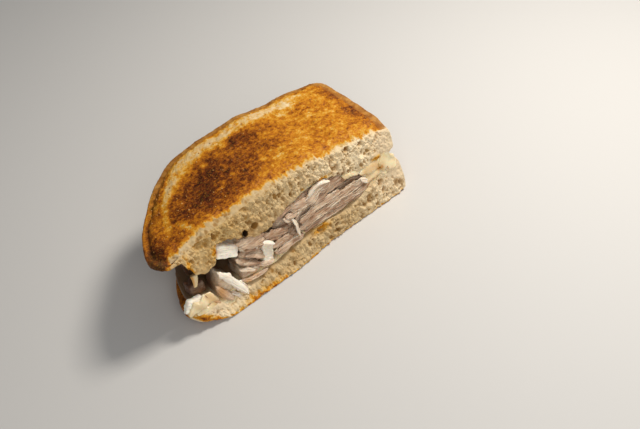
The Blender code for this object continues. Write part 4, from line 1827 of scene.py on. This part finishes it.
@dataclass(frozen=True)
class TurkeyLeaves:
    """The torn leaves, scraps and threads that show over the filling on the cut."""

    effects: SharedEffects
    strands_per_mm2: float = 0.16
    leaves: Sequence[Leaf] = (
        Leaf(((10, 25.0), (15, 27.4), (20, 28.9), (26, 28.5)), 5.4, -0.34, -0.3),
        Leaf(((12, 28.2), (17, 30.7), (22, 30.6), (26, 29.2)), 1.2, -0.7, -0.7),
        Leaf(((12, 21.6), (20, 24.2), (27, 26.6), (35, 27.4)), 3.6, 0.02, 0.9),
        Leaf(((22, 23.4), (30, 24.4), (37, 24.2)), 2.0, 0.10, 1.2),
        Leaf(((3, 18.3), (12, 20.2), (22, 20.6), (31, 20.3)), 3.2, -0.08, 0.3),
        Leaf(((18, 18.0), (28, 18.6), (38, 18.6), (47, 18.3)), 3.6, -0.14, 0.0),
        Leaf(((2, 15.0), (12, 16.8), (24, 16.4), (36, 15.6)), 3.0, 0.0, 0.2),
        Leaf(((22, 14.4), (34, 15.0), (44, 14.8), (50, 15.4)), 2.6, 0.12, 0.1),
        Leaf(((4, 12.8), (14, 13.6), (26, 13.2), (34, 12.8)), 2.4, -0.10, 0.4),
        Leaf(((30, 12.6), (38, 12.9), (46, 13.2)), 1.6, 0.05, 0.5),
        Leaf(((43.5, 19.5), (46, 18.4), (47.5, 16.8)), 2.4, -0.9, -0.4),
        Leaf(((-18, 23.0), (-12, 21.4), (-4, 18.8)), 3.2, 0.05, 1.0),
        Leaf(((-17, 20.5), (-10, 19.2), (-3, 20.4)), 2.4, 0.10, 1.3),
        Leaf(((-16, 15.3), (-9, 15.8), (-3, 15.2)), 3.2, 0.0, 0.6),
        Leaf(((-15, 11.5), (-6, 12.6), (3, 12.4)), 3.0, -0.15, 0.3),
        Leaf(((0, 26.8), (6, 26.6), (13, 25.8)), 4.6, -0.30, 0.2),
        Leaf(((-9, 25.6), (-4, 27.6), (3, 28.4)), 1.6, 0.0, 1.2),
        Leaf(((-33, 27.2), (-26, 25.9), (-17, 24.6)), 3.2, -0.15, 0.9, 1.6, 0.3, 0.2),
        Leaf(((-5, 24.4), (-2.2, 23.2), (0.2, 21.4)), 2.3, -0.45, 0.1),
        Leaf(((6, 23.8), (3, 22.8), (0.8, 20.4)), 2.0, -0.50, 0.1),
        Leaf(((10, 24.4), (5.5, 23.9), (2, 22.8)), 2.0, -0.40, 0.3),
        Leaf(((-3.5, 25.2), (0, 24.6), (4, 24.4)), 2.2, -0.35, 0.2),
        Leaf(((-0.8, 23.6), (0.3, 20.0), (0.3, 16.5), (0.8, 13.2)), 2.3, -0.70, -0.5),
        Leaf(((-36, 15.5), (-31, 13.2), (-28, 11.2)), 2.0, -0.6, 0.4),
        Leaf(((-36, 20.5), (-31, 16.5), (-25, 13.0)), 3.0, 0.0, 1.2),
        Leaf(((-34, 18.0), (-29, 15.5), (-24, 12.6)), 1.6, -0.25, 0.6),
        Leaf(((-33, 22.0), (-27, 19.5), (-21, 16.5)), 2.8, 0.05, 0.9),
        Leaf(((-31, 20.5), (-26, 17.6), (-21, 14.0)), 2.0, -0.10, 0.5),
        Leaf(((-24.5, 20.8), (-22, 22.6)), 0.9, -0.8, -0.4),
        Leaf(((-31, 25.5), (-25, 23.5), (-18, 22.0)), 3.0, -0.10, 0.2),
        Leaf(((-30, 23.0), (-24, 21.2), (-19, 20.6)), 2.0, 0.10, 0.4),
        Leaf(((-47, 20.8), (-44, 17.0), (-41, 12.0), (-38, 8.0), (-36.5, 3.6)), 4.4, -1.0, -0.5, 2.0),
        Leaf(((-57, 15.5), (-54, 11.0), (-50, 7.0)), 2.4, -0.15, 0.6),
        Leaf(((-50.5, 15.5), (-47.5, 10.0), (-44, 5.5)), 3.8, -0.35, 0.1, 1.8),
        Leaf(((-44, 8.5), (-41, 5.5), (-39, 3.0)), 2.4, -0.6, 0.0),
        Leaf(((-27, 12.6), (-22, 11.0), (-17, 9.6)), 1.8, -0.2, 0.6),
        Leaf(((-37, 10.6), (-31, 8.4), (-22, 8.6)), 1.5, -0.30, 0.2),
        Leaf(((-20, 21.5), (-17, 20.0), (-14, 17.6)), 1.5, -1.0, -0.2),
    )

    def build(self) -> None:
        """Makes all the leaves as one mesh, and the strands on them as another."""
        gloss = Gloss(specular=0.4, subsurface=0.25, bump_mm=0.12)
        material = RoastMeat(
            "turkey_leaf", self.effects, gloss, pale=(0.68, 0.515, 0.36), stain_share=0.15,
            fibre_draw=(7.0, 2.0, 1.0), roughness=0.44,
        ).build()
        serve("turkey_leaves", leaf_pile(self.leaves, 200), material)
        self._shreds(material)

    def _shreds(self, material: bpy.types.Material) -> bpy.types.Object:
        """Torn strands that lie along the leaves.

        Args:
            material: The leaves' finish.

        Returns:
            All of them, as one mesh.
        """
        draw = random.Random(41)
        strands = []
        for leaf in self.leaves:
            length = sum((Vector(b) - Vector(a)).length for a, b in zip(leaf.path, leaf.path[1:]))
            count = round(self.strands_per_mm2 * length * leaf.width)
            strands += [Strand.drawn(leaf, draw) for _ in range(count)]
        bm = bmesh.new()
        for i in range(len(strands)):
            lie = Matrix.Translation((2 * i + 0.5, 0, 0)) @ Matrix.Rotation(math.pi / 2, 4, "Y")
            bmesh.ops.create_cone(
                bm, cap_ends=True, segments=8, radius1=0.5, radius2=0.5, depth=1, matrix=lie
            )
        runs = [e for e in bm.edges if abs(e.verts[0].co.x - e.verts[1].co.x) > 0.5]
        bmesh.ops.subdivide_edges(bm, edges=runs, cuts=11)
        tone, toast = mask_layers(bm, Mask.TONE_AND_SHADE, Mask.TOAST)
        for vert in bm.verts:
            i = int(vert.co.x / 2 + 0.1)
            u, side, up = vert.co.x - 2 * i, vert.co.y, vert.co.z
            vert.co = strands[i].middle(u, i)
            thick = strands[i].thickness(u, vert.co.x, i)
            vert.co += Vector((0, side * thick, 1.3 * up * thick))
            vert[tone] = strands[i].tone
            vert[toast] = stained(vert.co.x, vert.co.z)
        return serve("turkey_shreds", bm, material)


@dataclass(frozen=True)
class TornPiece:
    """One loose piece in the open mouth.

    Its front has four (x, z) corners, in the order lower left, lower right, upper right, upper left.
    """

    corners: tuple[tuple[float, float], tuple[float, float], tuple[float, float], tuple[float, float]]
    depth: tuple[float, float]
    tone: float
    # Share of the painted shade that grows behind the cut in the open mouth.
    shade: float = 0.06
    crispness: float = 9.0

    def point(self, unit: Vector, seed: int) -> Vector:
        """Moves a point of the unit box onto the piece.

        Args:
            unit: The point, from 0 to 1 each way.
            seed: Which piece.

        Returns:
            Its place in stack space.
        """
        p = unit * 2 - Vector((1, 1, 1))
        reach = sum(abs(c) ** self.crispness for c in p) ** (1 / self.crispness)
        p *= lerp(1.0, 1.0 / max(reach, TINY), 0.9)
        p *= 1.0 - 0.05 * (1 + wobble(p.x, p.y, p.z, 0.8, seed))
        low_left, low_right, high_right, high_left = (Vector(corner) for corner in self.corners)
        share = (p.x + 1) / 2
        spot = low_left.lerp(low_right, share).lerp(high_left.lerp(high_right, share), (p.z + 1) / 2)
        return Vector((spot.x, lerp(*self.depth, (p.y + 1) / 2), spot.y))


@dataclass(frozen=True)
class TornTurkey:
    """The loose torn pieces in the open mouth at the dome end, paler than the slices."""

    effects: SharedEffects
    pieces: Sequence[TornPiece] = (
        TornPiece(((-45.0, 26.2), (-33.8, 21.2), (-30.6, 26.6), (-42.0, 32.6)), (0.6, 12.0), -0.95),
        TornPiece(((-22.4, 10.2), (-17.0, 9.2), (-13.7, 17.6), (-20.4, 20.4)), (0.4, 11.5), -0.75),
        TornPiece(((-51.0, 8.6), (-37.5, 6.8), (-40.0, 14.0), (-46.5, 20.8)), (0.9, 13.0), -0.35, 0.15),
        TornPiece(((-34.0, 15.5), (-26.0, 13.5), (-24.5, 18.6), (-32.5, 21.2)), (2.2, 15.0), 0.0, 0.07),
        TornPiece(((-36.0, 9.0), (-24.5, 8.2), (-24.0, 12.8), (-34.5, 14.2)), (1.4, 14.0), -0.1, 0.07),
        TornPiece(((-32.5, 21.6), (-16.6, 20.4), (-16.0, 26.0), (-31.5, 28.6)), (0.8, 14.0), -0.15),
        TornPiece(((-70.3, 10.6), (-57.6, 13.4), (-57.8, 15.4), (-66.0, 16.6)), (0.8, 4.4), -1.0, 0.06, 4.0),
        # This piece's higher tone and shade share darken it as painted shade deep in the mouth.
        TornPiece(((-60.5, 11.0), (-51.5, 11.0), (-51.5, 17.0), (-60.0, 17.6)), (6.8, 14.0), 0.2, 0.16, 5.0),
    )
    cells: tuple[int, int, int] = (44, 30, 36)
    cheese_start_x: float = -68.0
    cheese_ease: float = 5.0
    ridge_height: float = 0.4
    tear_height: float = 0.7
    sunk: float = 0.1
    darkest: float = 0.93

    def build(self) -> None:
        """Makes every torn piece."""
        material = RoastMeat(
            "torn_turkey", self.effects, Gloss(subsurface=0.3, bump_mm=0.16), pale=(0.80, 0.68, 0.50),
            pink=(0.46, 0.28, 0.17), stain_share=0.25, fibre_draw=(4.0, 2.0, 1.0),
        ).build()
        for i, torn in enumerate(self.pieces):
            self._piece(f"turkey_chunk_{i + 1}", torn, 20 + i, material)

    def _piece(self, name: str, torn: TornPiece, seed: int,
               material: bpy.types.Material) -> bpy.types.Object:
        """Makes one piece, kept off the bread above and below it.

        Args:
            name: Name of the piece.
            torn: Its shape.
            seed: Which piece.
            material: Its finish.

        Returns:
            The piece.
        """
        bm = unit_box(*self.cells)
        tone, crease_shade, toast = mask_layers(bm, Mask.TONE_AND_SHADE, Mask.PAINTED_SHADE, Mask.TOAST)
        for vert in bm.verts:
            spot = torn.point(vert.co, seed)
            share = CHEESE_SHARE * smooth((spot.x - self.cheese_start_x) / self.cheese_ease)
            low = STACK.level(spot.x, spot.y, share) + STACK.gap
            high = STACK.torn_underside(spot.x, spot.y) - STACK.gap
            vert.co = Vector((spot.x, spot.y, min(high, max(low, spot.z))))
        bm.normal_update()
        for vert in bm.verts:
            x, y, z = vert.co
            ridge = fibres(x, y, z + 0.4 * x, seed)
            tear = 0.45 * wobble(x, y, z, 3.4, seed + 0.2) + 0.2 * wobble(x, y, z, 1.3, seed + 0.4)
            vert[tone] = torn.tone + 0.35 * wobble(x, y, z, 4.0, seed + 0.6)
            # Painted shade in the torn hollows, deeper in the open mouth.
            vert[crease_shade] = min(self.darkest, 0.4 * max(0.0, -tear) + gloom(vert.co, torn.shade))
            vert[toast] = stained(x, z)
            vert.co += vert.normal * (self.ridge_height * ridge + self.tear_height * tear - self.sunk)
        return serve(name, bm, material, (name,))


# ---------------------------------------------------------------- cheese


@dataclass(frozen=True)
class Cheese:
    """The melted cheese: a sheet on each side of the turkey, and the strand in the open mouth."""

    effects: SharedEffects
    smears: Sequence[Leaf] = tuple(
        Leaf(path, width, 0.0, front, thick=2.0, shingle=0.3, ridged=0.16, ragged=0.75)
        for path, width, front in (
            (((34, 26.0), (40, 25.0), (47, 23.0)), 3.0, 0.3),
            (((44, 22.4), (52, 22.0), (62, 20.8)), 4.6, 0.5),
            (((46, 16.8), (53, 18.0), (61, 17.6)), 4.6, 0.5),
            (((47, 13.8), (54, 14.8), (62, 15.2)), 3.2, 0.6),
            (((57, 21.8), (62, 19.8), (66.5, 15.5)), 7.2, -0.5),
            (((60, 23.4), (64, 22.0), (67.5, 19.5)), 4.4, 0.2),
            (((-68, 11.0), (-62, 12.6), (-56, 12.4), (-51, 9.6)), 4.8, 0.5),
            (((-64, 8.6), (-55, 8.6), (-46, 6.0)), 4.0, 0.8),
            (((-56, 6.0), (-50, 5.0), (-42, 4.6)), 3.0, 0.6),
            (((-50, 6.2), (-40, 5.2), (-34, 5.8)), 2.2, 0.5),
        )
    )
    sealed_share: float = 0.485
    seal_start: float = 0.85
    seal_length: float = 0.08
    top_clearance: float = 0.02
    golden: float = 0.7
    mouth_gloom: float = 0.12
    darkest: float = 0.9
    drip_x: float = -57.6
    drip_y: float = 2.2
    drip_end_z: float = 20.4
    drip_root_r: float = 2.1
    drip_point_r: float = 0.8
    drip_sway: float = 1.2
    drip_flatness: float = 0.6
    drip_swell: Grain = Grain(0.25, 3.0, 51)
    drip_golden: float = 0.9
    drip_rungs: int = 30

    def _share_at(self, t: float) -> float:
        """The share of the filling that each cheese takes, closing at the loaf's base."""
        return lerp(CHEESE_SHARE, self.sealed_share, smooth((t - self.seal_start) / self.seal_length))

    @staticmethod
    def _upper_front(t: float) -> float:
        """How far behind the cut the upper sheet starts: well back in the open mouth, level at the seal."""
        drawn_back = lerp(0.22, 0.032, smooth((t - 0.40) / 0.10))
        return lerp(drawn_back, 0.01, smooth((t - 0.78) / 0.08))

    def build(self) -> None:
        """Makes both sheets, the strand and the smears."""
        gloss = Gloss(subsurface=0.35, subsurface_mm=2.0, bump_mm=0.2, bump_strength=0.45)
        material = MeltedCheese("melted_cheese", self.effects, gloss).build()
        upper = Sheet(
            ends=(0.05, 0.985), front=self._upper_front, back=0.975,
            shares=lambda t: (1 - self._share_at(t), 1 - self.top_clearance), seed=31, inset=0.8, plump=0.1,
            cells=(220, 50, 8),
        )
        lower = Sheet(
            ends=(0.06, 0.99), front=lambda t: lerp(0.032, 0.012, smooth((t - 0.82) / 0.08)), back=0.965,
            shares=lambda t: (0.0, self._share_at(t)), seed=33, inset=0.9, plump=0.1, cells=(220, 50, 10),
        )
        self._sheet("cheese_upper", upper, material)
        self._sheet("cheese_lower", lower, material)
        self._strand(material)
        serve("cheese_smears", leaf_pile(self.smears, 400), material)

    def _sheet(self, name: str, sheet: Sheet, material: bpy.types.Material) -> bpy.types.Object:
        """Makes one sheet, bulging a little where it melted out at the cut.

        Args:
            name: Name of the sheet.
            sheet: Its shape.
            material: Its finish.

        Returns:
            The sheet.
        """
        bm = unit_box(*sheet.cells)
        toast, shadow = mask_layers(bm, Mask.TOAST, Mask.PAINTED_SHADE)
        for vert in bm.verts:
            vert.co, _ = sheet.shape(vert.co)
        bm.normal_update()
        for vert in bm.verts:
            x, y, z = vert.co
            spots = total(STAINS, x, z) * smooth(1.5 - y / 4)
            patch = smooth(2.2 * wobble(x, y, z, 4.0, sheet.seed) - 0.5)
            vert[toast] = min(1.0, self.golden * patch + spots)
            vert[shadow] = min(self.darkest, gloom(vert.co, self.mouth_gloom))
            lift = 0.25 * wobble(x, y, z, 4.5, sheet.seed) + 0.1 * wobble(x, y, z, 1.5, 3)
            vert.co += vert.normal * lift
        return serve(name, bm, material, (name,))

    def _strand(self, material: bpy.types.Material) -> bpy.types.Object:
        """Makes the strand, flared where it leaves the bread and browned on its left.

        Args:
            material: The cheese's finish.

        Returns:
            The strand.
        """
        top = STACK.underside(self.drip_x + self.drip_root_r, self.drip_y) - STACK.gap
        bm = bmesh.new()
        bmesh.ops.create_cone(
            bm, cap_ends=True, segments=28, radius1=self.drip_point_r, radius2=self.drip_root_r,
            depth=top - self.drip_end_z,
        )
        rungs = [e for e in bm.edges if abs(e.verts[0].co.z - e.verts[1].co.z) > 1]
        bmesh.ops.subdivide_edges(bm, edges=rungs, cuts=self.drip_rungs)
        (toast,) = mask_layers(bm, Mask.TOAST)
        for vert in bm.verts:
            x, y, z = vert.co
            z += (top + self.drip_end_z) / 2
            fall = (top - z) / (top - self.drip_end_z)
            vert[toast] = self.drip_golden * smooth((-x - 0.25) / 1.2)
            swell = 1 + self.drip_swell.at(0, 0, z)
            spot = Vector((x * swell + self.drip_x - self.drip_sway * fall**2, 0, z))
            spot.y = self.drip_y + self.drip_flatness * y * swell
            vert.co = spot
        return serve("cheese_drip", bm, material, ("cheese_drip",))


# ---------------------------------------------------------------- crumbs


@dataclass(frozen=True)
class Crumbs:
    """Loose toasted crumbs on the grilled face."""

    effects: SharedEffects
    count: int = 130
    seed: int = 7
    reach_along: tuple[float, float] = (0.02, 0.98)
    reach_back: tuple[float, float] = (0.02, 0.93)
    radii: tuple[float, float] = (0.2, 0.45)
    shades: tuple[float, float] = (0.3, 0.8)
    raised: float = 0.25
    uneven: float = 0.35
    flatness: float = 0.75

    def build(self) -> bpy.types.Object:
        """Scatters the crumbs.

        Returns:
            All of them, as one mesh.
        """
        draw = random.Random(self.seed)
        bm = bmesh.new()
        (tone,) = mask_layers(bm, Mask.TONE_AND_SHADE)
        for i in range(self.count):
            t, v = draw.uniform(*self.reach_along), draw.uniform(*self.reach_back)
            spot = STACK.outline.at(t, v)
            radius = draw.uniform(*self.radii)
            shade = draw.uniform(*self.shades)
            made = bmesh.ops.create_icosphere(bm, subdivisions=1, radius=radius)["verts"]
            centre = Vector((spot.x, spot.y, STACK.crest(spot.x, spot.y) + self.raised * radius))
            for vert in made:
                vert.co *= 1 + self.uneven * wobble(*(vert.co / radius), 1.0, i)
                vert.co = centre + Vector((vert.co.x, vert.co.y, self.flatness * vert.co.z))
                vert[tone] = shade
        material = LooseCrumbs("loose_crumbs", self.effects, Gloss(bump_mm=0.1)).build()
        return serve("loose_crumbs", bm, material)


# ---------------------------------------------------------------- studio


@dataclass(frozen=True)
class Lamp:
    """One soft light, aimed at the sandwich."""

    name: str
    place: tuple[float, float, float]
    size: float
    watts: float
    color: Color = (1.0, 1.0, 1.0)


@dataclass(frozen=True)
class Studio:
    """Camera, lights and floor."""

    effects: SharedEffects
    camera_place: tuple[float, float, float] = (-220.2, -318.74, 351.56)
    camera_aim: tuple[float, float, float] = (0.4508, 0.6192, -0.6429)
    camera_roll_deg: float = -9.595
    lens_mm: float = 60.0
    sensor_mm: float = 36.0
    floor_m: float = 4.0
    world_strength: float = 0.20
    world_color: Color = (0.92, 0.95, 1.0)
    lamps: Sequence[Lamp] = (
        Lamp("key", (0.30, -0.06, 0.40), 0.14, 2.3, (1.0, 0.96, 0.90)),
        Lamp("fill", (-0.30, -0.60, 0.42), 0.5, 2.4, (1.0, 0.99, 0.97)),
    )

    def build(self) -> None:
        """Sets up everything round the sandwich."""
        bpy.context.scene.view_settings.view_transform = "Standard"
        self._camera()
        self._floor()
        self._world()
        for lamp in self.lamps:
            self._light(lamp)

    def _camera(self) -> None:
        """Stands the camera where it sees the cut face and the grilled top."""
        data = bpy.data.cameras.new("camera")
        data.lens = self.lens_mm
        data.sensor_width = self.sensor_mm
        camera = bpy.data.objects.new("camera", data)
        aim = Vector(self.camera_aim).normalized()
        level = aim.cross(Vector((0, 0, 1))).normalized()
        up = level.cross(aim)
        roll = math.radians(self.camera_roll_deg)
        right = level * math.cos(roll) + up * math.sin(roll)
        head = up * math.cos(roll) - level * math.sin(roll)
        x, y, z = self.camera_place
        place = Vector((x + STACK.origin[0], y + STACK.origin[1], z)) * MM
        turn = Matrix((right, head, -aim)).transposed().to_4x4()
        camera.matrix_world = Matrix.Translation(place) @ turn
        bpy.context.scene.collection.objects.link(camera)
        bpy.context.scene.camera = camera

    def _floor(self) -> None:
        """Lays the plain pale floor under the sandwich."""
        bm = bmesh.new()
        bmesh.ops.create_grid(bm, x_segments=1, y_segments=1, size=self.floor_m / 2)
        mesh = bpy.data.meshes.new("floor")
        bm.to_mesh(mesh)
        bm.free()
        mesh.materials.append(PaleBoard("pale_floor", self.effects).build())
        floor = bpy.data.objects.new("floor", mesh)
        bpy.context.scene.collection.objects.link(floor)

    def _world(self) -> None:
        """Fills the room with weak even light."""
        world = bpy.data.worlds.new("studio")
        bpy.context.scene.world = world
        world.use_nodes = True
        background = world.node_tree.nodes["Background"]
        background.inputs["Color"].default_value = (*self.world_color, 1.0)
        background.inputs["Strength"].default_value = self.world_strength

    @staticmethod
    def _light(lamp: Lamp) -> None:
        """Hangs one square light.

        Args:
            lamp: The light.
        """
        data = bpy.data.lights.new(lamp.name, "AREA")
        data.size = lamp.size
        data.energy = lamp.watts
        data.color = lamp.color
        light = bpy.data.objects.new(lamp.name, data)
        light.location = lamp.place
        light.rotation_euler = (-Vector(lamp.place)).to_track_quat("-Z", "Y").to_euler()
        bpy.context.scene.collection.objects.link(light)


def main() -> None:
    """Builds the sandwich from the bread inwards, then the studio round it."""
    logging.basicConfig(level=logging.INFO, format="%(name)s: %(message)s")
    effects = SharedEffects()
    Loaf(effects).build()
    Roast(effects).build()
    TurkeyLeaves(effects).build()
    TornTurkey(effects).build()
    Cheese(effects).build()
    Crumbs(effects).build()
    Studio(effects).build()


if __name__ == "__main__":
    main()
